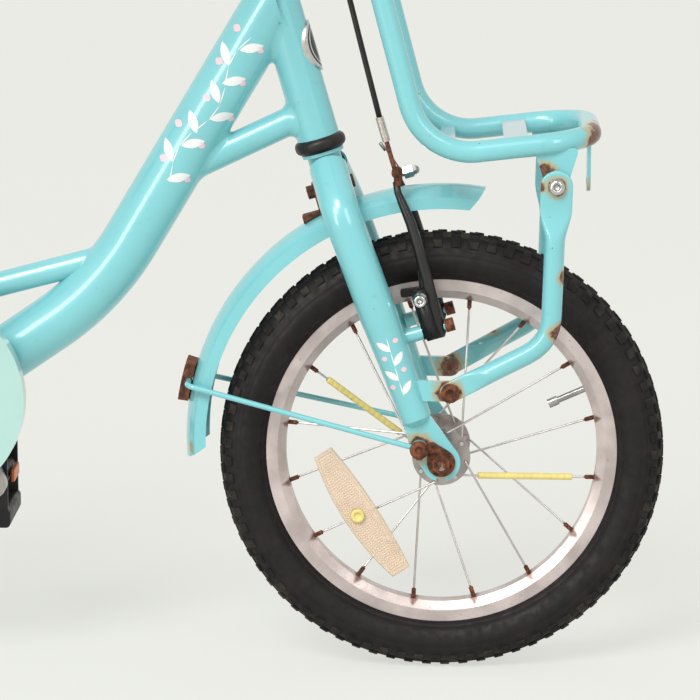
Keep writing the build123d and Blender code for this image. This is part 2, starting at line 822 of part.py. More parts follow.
with BuildPart() as bottom_bracket_shell:
    rod(crank(0, -SHELL_HALF, 0), crank(0, SHELL_HALF, 0), SHELL_RADIUS, SHELL_RADIUS - SHELL_WALL)
finish(bottom_bracket_shell, "bottom_bracket_shell")

dropout_y = REAR_DROPOUT_GAP + DROPOUT_THICK
stay_end_y = REAR_DROPOUT_GAP + DROPOUT_THICK / 2
stand_turn = acos((REAR_AXLE.Z - STAND_FOOT_RADIUS) / STAND_LEG)
STAND_DOWN = Vector(sin(stand_turn), 0, -cos(stand_turn))
STAND_AHEAD = Vector(cos(stand_turn), 0, sin(stand_turn))
stop_spot = STAND_DOWN * STAND_STOP_REACH + STAND_AHEAD * (STAND_EYE_RADIUS + CLEAR + STAND_STOP_RADIUS)
chain_stay_route = [
    crank(-SHELL_RADIUS / 2, CHAIN_STAY_Y, 0),
    rear(CHAIN_STAY_KINK, CHAIN_STAY_KINK_Y, CHAIN_STAY_KINK * AXLE_RISE / CENTRES),
    rear(DROPOUT_REACH, stay_end_y, CHAIN_STAY_RADIUS / 4),
]


def stay_y(ahead):
    """Y of the left chain stay's front run, this far ahead of the rear axle."""
    share = (ahead - CHAIN_STAY_KINK) / (chain_stay_route[0].X - chain_stay_route[1].X)
    return CHAIN_STAY_KINK_Y + share * (CHAIN_STAY_Y - CHAIN_STAY_KINK_Y)


seat_stay_route = [
    seat(SEAT_STAY_ALONG, 0, SEAT_TUBE_RADIUS - SEAT_STAY_RADIUS),
    seat(SEAT_STAY_ALONG - SEAT_STAY_KINK, -SEAT_STAY_KINK, SEAT_STAY_KINK_Y),
    rear(CHAIN_STAY_RADIUS / 2, stay_end_y, DROPOUT_REACH),
]
stay_run = (seat_stay_route[2] - seat_stay_route[1]).normalized()
bridge_drop = (lateral(seat_stay_route[1], 0) - REAR_AXLE).length - FENDER_RADIUS - BRIDGE_RADIUS
bridge = seat_stay_route[1] + stay_run * (bridge_drop - 2 * CLEAR)

with BuildPart() as rear_stays:
    bent_tube(chain_stay_route, CHAIN_STAY_BEND, CHAIN_STAY_RADIUS)
    bent_tube(seat_stay_route, SEAT_STAY_BEND, SEAT_STAY_RADIUS)
    plate(
        dropout_y,
        DROPOUT_THICK,
        [
            (REAR_AXLE.X, REAR_AXLE.Z, DROPOUT_RADIUS),
            (chain_stay_route[2].X, chain_stay_route[2].Z, CHAIN_STAY_RADIUS),
            (seat_stay_route[2].X, seat_stay_route[2].Z, SEAT_STAY_RADIUS),
            (REAR_AXLE.X + stop_spot.X, REAR_AXLE.Z + stop_spot.Z, STAND_STOP_RADIUS),
            (REAR_AXLE.X - DROPOUT_EYE_BACK, REAR_AXLE.Z + DROPOUT_EYE_UP, DROPOUT_EYE_RADIUS),
        ],
    )
    stop = lateral(REAR_AXLE + stop_spot, dropout_y - DROPOUT_THICK)
    rod(stop, stop + Vector(0, DROPOUT_THICK + STAND_PLATE, 0), STAND_STOP_RADIUS)
    with BuildSketch(side_plane(dropout_y)) as axle_slot:
        with Locations((REAR_AXLE.X, REAR_AXLE.Z)):
            Circle(REAR_AXLE_RADIUS + SLIP)
        with Locations((REAR_AXLE.X - DROPOUT_RADIUS, REAR_AXLE.Z)):
            Rectangle(2 * DROPOUT_RADIUS, 2 * (REAR_AXLE_RADIUS + SLIP))
    extrude(axle_slot.sketch, amount=DROPOUT_THICK, mode=Mode.SUBTRACT)
    mirror(about=Plane.XZ)
    rod(lateral(bridge, -SEAT_STAY_KINK_Y), lateral(bridge, SEAT_STAY_KINK_Y), BRIDGE_RADIUS)
    cut_shell()
    rod(seat(0), seat(SEAT_TUBE_LENGTH), SEAT_TUBE_RADIUS, mode=Mode.SUBTRACT)
finish(rear_stays, "rear_stays")

with BuildPart() as bearing_cups:
    for low, height, radius, edge in (
        (HEAD_LOW - CUP_HEIGHT, CUP_HEIGHT, CUP_RADIUS, CUP_EDGE),
        (HEAD_TOP, TOP_CUP_HEIGHT, TOP_CUP_RADIUS, TOP_CUP_EDGE),
    ):
        rod(steer(0, 0, low), steer(0, 0, low + height), radius, STEERER_RADIUS + CLEAR)
        rings = bearing_cups.edges().filter_by(GeomType.CIRCLE)
        fillet([ring for ring in rings if abs(ring.radius - radius) < SLIP], edge)
    for out in (-1, 1):
        face = crank(0, out * SHELL_HALF, 0)
        rod(face, face + Vector(0, out * BB_CUP_LIP, 0), SHELL_RADIUS - SLIP, SPINDLE_RADIUS + RUN_FIT)
        sleeve = SHELL_RADIUS - SHELL_WALL - SLIP
        rod(face - Vector(0, out * BB_CUP_DEPTH, 0), face, sleeve, SPINDLE_RADIUS + RUN_FIT)
finish(bearing_cups, "bearing_cups")

with BuildPart() as head_badge:
    badge_centre = steer(0, 0, HEAD_LOW + BADGE_UP)
    with BuildSketch(Plane(origin=badge_centre, x_dir=(0, 1, 0), z_dir=STEER_AHEAD)):
        Ellipse(BADGE_WIDTH / 2, BADGE_HEIGHT / 2)
    extrude(amount=2 * HEAD_RADIUS)
    cut_head()
    rod(steer(0, 0, HEAD_LOW), steer(0, 0, HEAD_TOP), HEAD_RADIUS + BADGE_THICK, mode=Mode.INTERSECT)
finish(head_badge, "head_badge")

with BuildPart() as seat_clamp:
    clamp_low = SEAT_TUBE_LENGTH - CLAMP_HEIGHT
    clamp_radius = SEAT_TUBE_RADIUS + CLAMP_WALL
    rod(seat(clamp_low), seat(SEAT_TUBE_LENGTH), clamp_radius, SEAT_TUBE_RADIUS + RUN_FIT)
    ear = seat(SEAT_TUBE_LENGTH - CLAMP_HEIGHT / 2, -SEAT_TUBE_RADIUS - CLAMP_WALL - CLAMP_BOLT_RADIUS)
    rod(lateral(ear, -CLAMP_BOLT_LENGTH / 2), lateral(ear, CLAMP_BOLT_LENGTH / 2), CLAMP_HEIGHT / 2)
    rod(lateral(ear, -CLAMP_BOLT_LENGTH), lateral(ear, CLAMP_BOLT_LENGTH), CLAMP_BOLT_RADIUS)
    rod(seat(0), seat(SEAT_TUBE_LENGTH), SEAT_TUBE_RADIUS + RUN_FIT, mode=Mode.SUBTRACT)
finish(seat_clamp, "seat_clamp")

# Drive

chain_swing = asin((RING_RADIUS - COG_RADIUS) / CENTRES)
chain_back = (REAR_AXLE - CRANK_AXLE).normalized()
chain_up = Vector(chain_back.Z, 0, -chain_back.X)
chain_run = CENTRES * cos(chain_swing)


def around(centre, radius, turn):
    """Point on a sprocket's pitch circle, turned from straight up towards the back."""
    return centre + chain_up * (radius * cos(turn)) + chain_back * (radius * sin(turn))


def roller(index):
    """Centre of one chain roller, counted back along the upper run."""
    cog_wrap = COG_TEETH * (0.5 - chain_swing / pi)
    run_links = chain_run / CHAIN_PITCH
    if index < run_links:
        start = around(CRANK_AXLE, RING_RADIUS, chain_swing)
        run = (around(REAR_AXLE, COG_RADIUS, chain_swing) - start).normalized()
        return start + run * (index * CHAIN_PITCH)
    index -= run_links
    if index < cog_wrap:
        return around(REAR_AXLE, COG_RADIUS, chain_swing + 2 * pi * index / COG_TEETH)
    index -= cog_wrap
    low = pi - chain_swing
    if index < run_links:
        run = (around(CRANK_AXLE, RING_RADIUS, low) - around(REAR_AXLE, COG_RADIUS, low)).normalized()
        return around(REAR_AXLE, COG_RADIUS, low) + run * (index * CHAIN_PITCH)
    index -= run_links
    return around(CRANK_AXLE, RING_RADIUS, low + 2 * pi * index / RING_TEETH)


rollers = [roller(index) for index in range(CHAIN_LINKS)]


def belt(y, thick, swell, mode=Mode.ADD):
    """Slab round both sprockets, swollen past their pitch circles."""
    discs = [
        (CRANK_AXLE.X, CRANK_AXLE.Z, RING_RADIUS + swell),
        (REAR_AXLE.X, REAR_AXLE.Z, COG_RADIUS + swell),
    ]
    plate(y, thick, discs, mode)


def sprocket(centre, radius, teeth, bore):
    """Toothed disc whose gaps sit on the chain's rollers."""
    first = min(rollers, key=lambda spot: abs((spot - centre).length - radius))
    start = atan2(first.Z - centre.Z, first.X - centre.X)
    gap = ROLLER_RADIUS + 2 * CLEAR
    with BuildPart() as disc:
        with BuildSketch(side_plane(CHAIN_Y + TOOTH_THICK / 2)) as outline:
            with Locations((centre.X, centre.Z)):
                Circle(radius + TOOTH_TIP)
                Circle(bore, mode=Mode.SUBTRACT)
            turns = [start + 2 * pi * tooth / teeth for tooth in range(teeth)]
            for reach in (radius, radius + TOOTH_TIP):
                with Locations(*[(centre.X + reach * cos(t), centre.Z + reach * sin(t)) for t in turns]):
                    Circle(gap, mode=Mode.SUBTRACT)
        extrude(outline.sketch, amount=TOOTH_THICK)
    return disc


with BuildPart() as chain:
    band_y = TOOTH_THICK / 2 + CHAIN_ROOM
    for top in (CHAIN_Y + band_y + PLATE_THICK, CHAIN_Y - band_y):
        belt(top, PLATE_THICK, PLATE_HALF_HEIGHT)
        belt(top, PLATE_THICK, -PLATE_HALF_HEIGHT, Mode.SUBTRACT)
    with BuildSketch(side_plane(CHAIN_Y + band_y + PLATE_THICK)) as pins:
        with Locations(*[(spot.X, spot.Z) for spot in rollers]):
            Circle(ROLLER_RADIUS)
    extrude(pins.sketch, amount=2 * (band_y + PLATE_THICK))
finish(chain, "chain")

chainring = sprocket(CRANK_AXLE, RING_RADIUS, RING_TEETH, SPINDLE_RADIUS + RUN_FIT)
with chainring:
    with BuildSketch(side_plane(CHAIN_Y + TOOTH_THICK)) as windows:
        with Locations((CRANK_AXLE.X, CRANK_AXLE.Z)):
            with PolarLocations(RING_WINDOW_PLACE, RING_WINDOWS):
                Circle(RING_WINDOW)
    extrude(windows.sketch, amount=2 * TOOTH_THICK, mode=Mode.SUBTRACT)
finish(chainring, "chainring")

rear_sprocket = sprocket(REAR_AXLE, COG_RADIUS, COG_TEETH, REAR_SHELL_RADIUS - HUB_END_DROP + RUN_FIT)
finish(rear_sprocket, "rear_sprocket")

guard_centre = crank(-GUARD_BACK, 0, GUARD_UP)
guard_discs = [
    (guard_centre.X, guard_centre.Z, GUARD_RADIUS),
    (REAR_AXLE.X + GUARD_TAIL, REAR_AXLE.Z + GUARD_TAIL * AXLE_RISE / CENTRES, GUARD_TAIL_RADIUS),
]
guard_post = rear(GUARD_POST, 0, GUARD_POST * AXLE_RISE / CENTRES)
main_low = (main_corner - CRANK_AXLE).normalized()
guard_lug = guard_centre + main_low * (GUARD_RADIUS - GUARD_POST_RADIUS - 2 * GUARD_SHEET)

with BuildPart() as chain_guard:
    plate(-GUARD_INNER_Y, GUARD_Y - GUARD_INNER_Y, guard_discs)
    inner_discs = [(x, z, radius - GUARD_SHEET) for x, z, radius in guard_discs]
    plate(-GUARD_INNER_Y, GUARD_Y - GUARD_INNER_Y - GUARD_SHEET, inner_discs, Mode.SUBTRACT)
    cross_hole(CRANK_AXLE, -GUARD_INNER_Y, GUARD_Y, GUARD_HOLE)
    with BuildSketch(side_plane(-GUARD_INNER_Y)) as tail_cut:
        with Locations((REAR_AXLE.X + GUARD_TAIL - GUARD_RADIUS, REAR_AXLE.Z)):
            Rectangle(2 * GUARD_RADIUS, 4 * GUARD_RADIUS)
    extrude(tail_cut.sketch, amount=GUARD_Y, mode=Mode.SUBTRACT)
    rod(lateral(guard_post, -stay_y(GUARD_POST)), lateral(guard_post, -GUARD_Y), GUARD_POST_RADIUS)
    rod(lateral(guard_lug, -MAIN_RADIUS / 2), lateral(guard_lug, -GUARD_Y), GUARD_POST_RADIUS)
    right_stay = [lateral(spot, -spot.Y) for spot in chain_stay_route]
    bent_tube(right_stay, CHAIN_STAY_BEND, CHAIN_STAY_RADIUS, mode=Mode.SUBTRACT)
    bent_tube(main_route, MAIN_BEND, MAIN_RADIUS, mode=Mode.SUBTRACT)
finish(chain_guard, "chain_guard")

crank_out = slope(CRANK_ANGLE)
right_pedal = CRANK_AXLE + crank_out * CRANK_LENGTH
left_pedal = CRANK_AXLE - crank_out * CRANK_LENGTH

with BuildPart() as cranks:
    rod(crank(0, -CRANK_Y, 0), crank(0, CRANK_Y, 0), SPINDLE_RADIUS)
    for side, spot in ((-1, right_pedal), (1, left_pedal)):
        start = side * CRANK_Y + (0 if side < 0 else CRANK_THICK)
        discs = [(CRANK_AXLE.X, CRANK_AXLE.Z, CRANK_BOSS), (spot.X, spot.Z, CRANK_END)]
        plate(start, CRANK_THICK, discs)
        inner = SHELL_HALF + BB_CUP_LIP + CLEAR if side > 0 else TOOTH_THICK / 2 - CHAIN_Y
        rod(crank(0, side * inner, 0), crank(0, side * CRANK_Y, 0), CRANK_BOSS)
        rod(lateral(spot, side * CRANK_Y), lateral(spot, side * PEDAL_OUT), PEDAL_PIN)
finish(cranks, "cranks")


def pedal(spot, side):
    """Pedal body with a barrel on the pin, two treads and two end plates, hanging upright."""
    inner = CRANK_Y + CRANK_THICK + PEDAL_GAP
    tread_top = max(side * inner, side * PEDAL_OUT)
    width = PEDAL_OUT - inner
    with BuildPart() as body:
        rod(lateral(spot, side * inner), lateral(spot, side * (PEDAL_OUT + PEDAL_CAP)), PEDAL_BARREL)
        for up in (-1, 1):
            with BuildSketch(side_plane(tread_top)) as tread:
                with Locations((spot.X, spot.Z + up * (PEDAL_HALF - PEDAL_TREAD / 2))):
                    RectangleRounded(PEDAL_THICK, PEDAL_TREAD, PEDAL_TREAD / 4)
            extrude(tread.sketch, amount=width)
        for start in (tread_top, tread_top - width + PEDAL_PLATE):
            with BuildSketch(side_plane(start)) as cheek:
                with Locations((spot.X, spot.Z)):
                    Rectangle(PEDAL_THICK - PEDAL_PLATE, 2 * PEDAL_HALF - PEDAL_TREAD)
            extrude(cheek.sketch, amount=PEDAL_PLATE)
        pin_end = lateral(spot, side * (PEDAL_OUT + CLEAR))
        rod(lateral(spot, side * inner), pin_end, PEDAL_PIN + RUN_FIT, mode=Mode.SUBTRACT)
    return body


pedal_right = pedal(right_pedal, -1)
finish(pedal_right, "pedal_right")
pedal_left = pedal(left_pedal, 1)
finish(pedal_left, "pedal_left")

with BuildPart() as rear_axle:
    rod(rear(0, -REAR_AXLE_END, 0), rear(0, REAR_AXLE_END, 0), REAR_AXLE_RADIUS)
    nut_in = dropout_y + STAND_PLATE + 2 * CLEAR
    for side in (-1, 1):
        nut_start = rear(0, side * nut_in, 0)
        hex_nut(nut_start, nut_start + Vector(0, side * REAR_NUT, 0), REAR_NUT, REAR_AXLE_RADIUS)
finish(rear_axle, "rear_axle")

arm_y = REAR_DROPOUT_GAP - CLEAR
clip = rear(BRAKE_CLIP, 0, BRAKE_CLIP * AXLE_RISE / CENTRES)
clip_y = stay_y(BRAKE_CLIP)
stay_line = (chain_stay_route[1] - chain_stay_route[0]).normalized()

with BuildPart() as coaster_brake_arm:
    elbow = rear(BRAKE_ELBOW, 0, -BRAKE_ELBOW_DROP)
    toe = clip - Vector(0, 0, CHAIN_STAY_RADIUS + BRAKE_TOE)
    plate(arm_y, BRAKE_PLATE, [(REAR_AXLE.X, REAR_AXLE.Z, BRAKE_EYE), (elbow.X, elbow.Z, BRAKE_TOE)])
    plate(arm_y, BRAKE_PLATE, [(elbow.X, elbow.Z, BRAKE_TOE), (toe.X, toe.Z, BRAKE_TOE)])
    cross_hole(REAR_AXLE, REAR_DROPOUT_GAP, 2 * BRAKE_PLATE, REAR_AXLE_RADIUS + SLIP)
    middle = lateral(clip, clip_y)
    half = stay_line * BRAKE_TOE
    rod(middle - half, middle + half, CHAIN_STAY_RADIUS + CLAMP_WALL)
    rod(lateral(toe, clip_y), lateral(toe, arm_y - BRAKE_PLATE), BRAKE_TOE)
    bent_tube(chain_stay_route, CHAIN_STAY_BEND, CHAIN_STAY_RADIUS + RUN_FIT, mode=Mode.SUBTRACT)
finish(coaster_brake_arm, "coaster_brake_arm")

# Fenders


def fender(centre, start, end):
    """Rolled sheet with a crowned top and straight skirts, between two angles."""
    half = FENDER_HALF_WIDTH
    inner = FENDER_HALF_WIDTH - FENDER_SHEET
    edge = FENDER_RADIUS - FENDER_SKIRT
    spring = FENDER_RADIUS - FENDER_CROWN
    with BuildPart() as sheet:
        with BuildSketch(wheel_plane(centre, start)) as section:
            with BuildLine():
                Line((edge, -half), (spring, -half))
                ThreePointArc((spring, -half), (FENDER_RADIUS, 0), (spring, half))
                Polyline((spring, half), (edge, half), (edge, inner), (spring, inner))
                ThreePointArc((spring, inner), (FENDER_RADIUS - FENDER_SHEET, 0), (spring, -inner))
                Polyline((spring, -inner), (edge, -inner), (edge, -half))
            make_face()
        revolve(section.sketch, axis=Axis(centre, (0, -1, 0)), revolution_arc=end - start)
    return sheet


def stay_wire(eye, eye_y, centre, angle):
    """Wire stay with an eye each side that passes over the outside of a fender."""
    wire_y = eye_y + STAY_WIRE_RADIUS + STAY_LIFT
    corner = centre + slope(angle) * (FENDER_RADIUS + STAY_WIRE_RADIUS + CLEAR)
    corner_y = FENDER_HALF_WIDTH + 2 * STAY_WIRE_RADIUS
    half = [lateral(eye, wire_y), lateral(corner, corner_y)]
    route = [lateral(spot, -spot.Y) for spot in half] + half[::-1]
    bent_tube(route, 3 * STAY_WIRE_RADIUS, STAY_WIRE_RADIUS)
    for side in (-1, 1):
        rod(lateral(eye, side * eye_y), lateral(eye, side * (eye_y + STAY_EYE_THICK)), STAY_EYE)
    rod(lateral(eye, -2 * eye_y), lateral(eye, 2 * eye_y), STAY_BOLT + SLIP, mode=Mode.SUBTRACT)


def trim_fender(centre, tip, inward):
    """Slant one end of a fender, so that its skirts stop short of its crown."""
    outer = FENDER_RADIUS + FENDER_SHEET
    edge = FENDER_RADIUS - FENDER_SKIRT - FENDER_SHEET
    wide = FENDER_HALF_WIDTH + FENDER_SHEET
    spots = [
        centre + slope(tip) * outer,
        centre + slope(tip + inward) * edge,
        centre + slope(tip - inward) * edge,
        centre + slope(tip - inward) * outer,
    ]
    with BuildSketch(side_plane(wide)) as wedge:
        with BuildLine():
            Polyline(*[(spot.X, spot.Z) for spot in spots], close=True)
        make_face()
    extrude(wedge.sketch, amount=2 * wide, mode=Mode.SUBTRACT)


front_fender_centre = front(FRONT_FENDER_AHEAD, 0, FRONT_FENDER_UP)
front_fender = fender(front_fender_centre, FRONT_FENDER_START, FRONT_FENDER_END)
with front_fender:
    trim_fender(front_fender_centre, FRONT_FENDER_START, FENDER_SLANT)
    trim_fender(front_fender_centre, FRONT_FENDER_END, -FENDER_SLANT)
finish(front_fender, "front_fender")
rear_fender = fender(REAR_AXLE, REAR_FENDER_START, REAR_FENDER_END)
finish(rear_fender, "rear_fender")

stay_bolt = front(-STAY_BOLT_BACK, 0, STAY_BOLT_UP)
front_dropout_y = FRONT_DROPOUT_GAP + DROPOUT_THICK
with BuildPart() as fender_stay:
    stay_wire(stay_bolt, front_dropout_y, front_fender_centre, FRONT_STAY_ANGLE)
finish(fender_stay, "fender_stay")

rear_eye = rear(-DROPOUT_EYE_BACK, 0, DROPOUT_EYE_UP)
with BuildPart() as rear_fender_stay:
    stay_wire(rear_eye, dropout_y, REAR_AXLE, REAR_STAY_ANGLE)
    for side in (-1, 1):
        head = side * (dropout_y + STAY_EYE_THICK)
        rod(lateral(rear_eye, side * dropout_y), lateral(rear_eye, head), STAY_BOLT)
        rod(lateral(rear_eye, head), lateral(rear_eye, head + side * STAY_BOLT), STAY_EYE)
finish(rear_fender_stay, "rear_fender_stay")

with BuildPart() as rear_reflector:
    lens = rear(-REAR_REACH, 0, REFLECTOR_UP)
    rod(lens, lens + Vector(2 * REFLECTOR_DEPTH, 0, 0), REFLECTOR_RADIUS)
    wide = Vector(0, REFLECTOR_RADIUS, 0)
    rod(REAR_AXLE - wide, REAR_AXLE + wide, FENDER_RADIUS + SLIP, mode=Mode.SUBTRACT)
finish(rear_reflector, "rear_reflector")

# The crown bolt sits a set height above the fender, where the strap's back passes it
strap_back = COLLAR_RADIUS + STRAP_THICK
strap_gap = steer(-strap_back, 0, 0) - front_fender_centre
strap_run = strap_gap.dot(STEER_UP)
fender_along = sqrt(FENDER_RADIUS**2 - strap_gap.length**2 + strap_run**2) - strap_run
crown_bolt_along = fender_along + CROWN_BOLT_RISE

with BuildPart() as fender_bracket:
    with BuildSketch(side_plane(BRACKET_HALF)) as strap:
        with BuildLine():
            top = steer(-COLLAR_RADIUS, 0, crown_bolt_along + BRACKET_HALF)
            back = steer(-strap_back, 0, crown_bolt_along + BRACKET_HALF)
            foot = steer(-strap_back, 0, crown_bolt_along - BRACKET_DROP)
            toe = steer(-strap_back - BRACKET_TOE, 0, crown_bolt_along - BRACKET_DROP)
            toe_top = steer(-strap_back - BRACKET_TOE, 0, crown_bolt_along - BRACKET_LIP)
            inner = steer(-strap_back, 0, crown_bolt_along - BRACKET_LIP)
            low = steer(-COLLAR_RADIUS, 0, crown_bolt_along - BRACKET_DROP)
            corners = (top, back, inner, toe_top, toe, foot, low)
            Polyline(*[(spot.X, spot.Z) for spot in corners], close=True)
        make_face()
    extrude(strap.sketch, amount=2 * BRACKET_HALF)
    wide = Vector(0, BRACKET_HALF, 0)
    rod(
        front_fender_centre - wide,
        front_fender_centre + wide,
        FENDER_RADIUS + RUN_FIT,
        mode=Mode.SUBTRACT,
    )
    rod(
        steer(-strap_back - CROWN_BOLT, 0, crown_bolt_along),
        steer(COLLAR_RADIUS + CROWN_BOLT, 0, crown_bolt_along),
        CROWN_BOLT,
    )
    hex_nut(
        steer(-strap_back - 2 * CROWN_BOLT, 0, crown_bolt_along),
        steer(-strap_back, 0, crown_bolt_along),
        2 * CROWN_BOLT,
        0,
    )
    hex_nut(
        steer(COLLAR_RADIUS, 0, crown_bolt_along),
        steer(COLLAR_RADIUS + 1.5 * CROWN_BOLT, 0, crown_bolt_along),
        2 * CROWN_BOLT,
        0,
    )
    clip_plane = wheel_plane(front_fender_centre, FRONT_STAY_ANGLE - FENDER_CLIP_ARC / 2)
    with BuildSketch(clip_plane) as clip_section:
        with Locations((FENDER_RADIUS + RUN_FIT + FENDER_CLIP_DEPTH / 2, 0)):
            Rectangle(FENDER_CLIP_DEPTH, 2 * FENDER_CLIP_HALF)
    clip_axis = Axis(front_fender_centre, (0, -1, 0))
    revolve(clip_section.sketch, axis=clip_axis, revolution_arc=FENDER_CLIP_ARC)
    wire = front_fender_centre + slope(FRONT_STAY_ANGLE) * (FENDER_RADIUS + STAY_WIRE_RADIUS + CLEAR)
    wire_low = wire - slope(FRONT_STAY_ANGLE) * 2 * STAY_WIRE_RADIUS
    slot_radius = STAY_WIRE_RADIUS + SLIP
    slot = [(wire.X, wire.Z, slot_radius), (wire_low.X, wire_low.Z, slot_radius)]
    plate(2 * FENDER_CLIP_HALF, 4 * FENDER_CLIP_HALF, slot, Mode.SUBTRACT)
finish(fender_bracket, "fender_bracket")

# Fork and headset


def blade(along):
    """Point on the left blade's axis."""
    return steer(BLADE_FOOT_AHEAD - tan(radians(BLADE_RAKE)) * along, BLADE_Y, along)


race_top = HEAD_LOW - CUP_HEIGHT - CLEAR
low_nut = HEAD_TOP + TOP_CUP_HEIGHT + CLEAR
strap_along = low_nut + LOW_NUT_HEIGHT
top_nut = strap_along + STRAP_THICK
nut_top = top_nut + TOP_NUT_HEIGHT
crown_start = steer(BLADE_FOOT_AHEAD - tan(radians(BLADE_RAKE)) * CROWN_TOP, CROWN_TOP_Y, CROWN_TOP)
blade_route = [crown_start, blade(CROWN_LOW), blade(BLADE_TAPER)]
leg_bolt = front(LEG_BOLT_AHEAD, 0, LEG_BOLT_UP)
boss_start = steer(BLADE_FOOT_AHEAD - tan(radians(BLADE_RAKE)) * BRAKE_ALONG, BRAKE_Y, BRAKE_ALONG)

with BuildPart() as fork:
    bent_tube(blade_route, CROWN_BEND, BLADE_RADIUS)
    cone(blade(BLADE_TAPER), blade(BLADE_END), BLADE_RADIUS, BLADE_END_RADIUS)
    cone(blade(BLADE_END), blade(BLADE_END - BLADE_TIP), BLADE_END_RADIUS, BLADE_END_RADIUS - BLADE_TIP)
    mirror(about=Plane.XZ)
    rod(steer(0, 0, COLLAR_LOW), steer(0, 0, race_top), COLLAR_RADIUS)
    rod(steer(0, 0, race_top - RACE_HEIGHT), steer(0, 0, race_top), HEAD_RADIUS)
    rod(steer(0, 0, COLLAR_LOW), steer(0, 0, nut_top - CLEAR), STEERER_RADIUS)
    for side in (-1, 1):
        route = [lateral(spot, side * spot.Y) for spot in blade_route]
        bent_tube(route, CROWN_BEND, BLADE_RADIUS - BLADE_WALL, mode=Mode.SUBTRACT)
        cone(
            lateral(blade(BLADE_TAPER), side * BLADE_Y),
            lateral(blade(BLADE_END), side * BLADE_Y),
            BLADE_RADIUS - BLADE_WALL,
            BLADE_END_RADIUS - BLADE_WALL,
            mode=Mode.SUBTRACT,
        )
        foot = blade(BLADE_END)
        top = front_dropout_y if side > 0 else -FRONT_DROPOUT_GAP
        plate(
            top,
            DROPOUT_THICK,
            [
                (FRONT_AXLE.X, FRONT_AXLE.Z, FRONT_DROPOUT_RADIUS),
                (stay_bolt.X, stay_bolt.Z, STAY_EYE + CLEAR),
                (foot.X, foot.Z, BLADE_END_RADIUS - BLADE_WALL),
            ],
        )
        cross_hole(stay_bolt, top, DROPOUT_THICK, STAY_BOLT + SLIP)
        with BuildSketch(side_plane(top)) as axle_slot:
            with Locations((FRONT_AXLE.X, FRONT_AXLE.Z)):
                Circle(FRONT_AXLE_RADIUS + SLIP)
            with Locations((FRONT_AXLE.X, FRONT_AXLE.Z - FRONT_DROPOUT_RADIUS)):
                Rectangle(2 * (FRONT_AXLE_RADIUS + SLIP), 2 * FRONT_DROPOUT_RADIUS)
        extrude(axle_slot.sketch, amount=DROPOUT_THICK, mode=Mode.SUBTRACT)
        tab_out = LEG_END_Y if side > 0 else DROPOUT_THICK - LEG_END_Y
        root = blade(LEG_TAB_ALONG)
        plate(
            tab_out,
            DROPOUT_THICK,
            [(leg_bolt.X, leg_bolt.Z, LEG_EYE), (root.X, root.Z, LEG_EYE)],
        )
        cross_hole(leg_bolt, tab_out, DROPOUT_THICK, LEG_BOLT + SLIP)
        boss = lateral(boss_start, side * BRAKE_Y)
        boss_end = steer(BOSS_END, side * BRAKE_Y, BRAKE_ALONG)
        rod(boss + STEER_AHEAD * BLADE_END_RADIUS, boss_end, BOSS_RADIUS)
        rod(
            boss_end,
            steer(BRAKE_ARM_FACE + CLEAR, side * BRAKE_Y, BRAKE_ALONG),
            BRAKE_PIN,
        )
    bore_low = steer(0, 0, COLLAR_LOW - BLADE_RADIUS)
    rod(bore_low, steer(0, 0, nut_top), STEERER_BORE + SLIP, mode=Mode.SUBTRACT)
    rod(
        steer(-2 * COLLAR_RADIUS, 0, crown_bolt_along),
        steer(2 * COLLAR_RADIUS, 0, crown_bolt_along),
        CROWN_BOLT + SLIP,
        mode=Mode.SUBTRACT,
    )
finish(fork, "fork")

with BuildPart() as headset_nuts:
    hex_nut(steer(0, 0, low_nut), steer(0, 0, strap_along), NUT_RADIUS, STEERER_RADIUS + SLIP)
    hex_nut(steer(0, 0, top_nut), steer(0, 0, nut_top), NUT_RADIUS, STEERER_RADIUS + SLIP)
finish(headset_nuts, "headset_nuts")

with BuildPart() as front_axle:
    rod(front(0, -FRONT_AXLE_END, 0), front(0, FRONT_AXLE_END, 0), FRONT_AXLE_RADIUS)
finish(front_axle, "front_axle")

with BuildPart() as front_axle_nuts:
    washer_out = front_dropout_y + WASHER
    plate(
        washer_out,
        WASHER,
        [
            (FRONT_AXLE.X, FRONT_AXLE.Z, WASHER_RADIUS),
            (FRONT_AXLE.X - HOOK_BACK, FRONT_AXLE.Z + HOOK_UP, HOOK_RADIUS),
        ],
    )
    cross_hole(FRONT_AXLE, washer_out, WASHER, FRONT_AXLE_RADIUS + SLIP)
    nut_start = front(0, washer_out, 0)
    hex_nut(nut_start, nut_start + Vector(0, FRONT_NUT, 0), FRONT_NUT, FRONT_AXLE_RADIUS + SLIP)
    mirror(about=Plane.XZ)
finish(front_axle_nuts, "front_axle_nuts")

# Front carrier

rail = slope(RACK_RISE)
rack_corner = front(RACK_CORNER_AHEAD, 0, RACK_CORNER_UP)
rack_front = rack_corner + rail * ((RACK_FRONT_AHEAD - RACK_CORNER_AHEAD) / rail.X)
rack_top = steer(RACK_TOP_AHEAD, 0, top_nut + RACK_RADIUS)
rack_side = [lateral(spot, RACK_Y) for spot in (rack_top, rack_corner, rack_front)]
rack_half = [rack_top, *rack_side, rack_front]
rack_bends = (RACK_TOP_BEND, RACK_LOW_BEND, RACK_FRONT_BEND)
leg_top = front(LEG_TOP_AHEAD, 0, LEG_TOP_UP)
leg_y = RACK_Y + TAB_THICK / 2 + LEG_FLAT / 2


def rack_spot(ahead):
    """Point on the rail's axis, this far ahead of the front axle."""
    return rack_corner + rail * ((ahead - RACK_CORNER_AHEAD) / rail.X)


def rack_tube(radius, bore=0.0, mode=Mode.ADD):
    """The carrier's closed tube loop, as two halves."""
    for side in (-1, 1):
        bent_tube([lateral(spot, side * spot.Y) for spot in rack_half], rack_bends, radius, bore, mode)


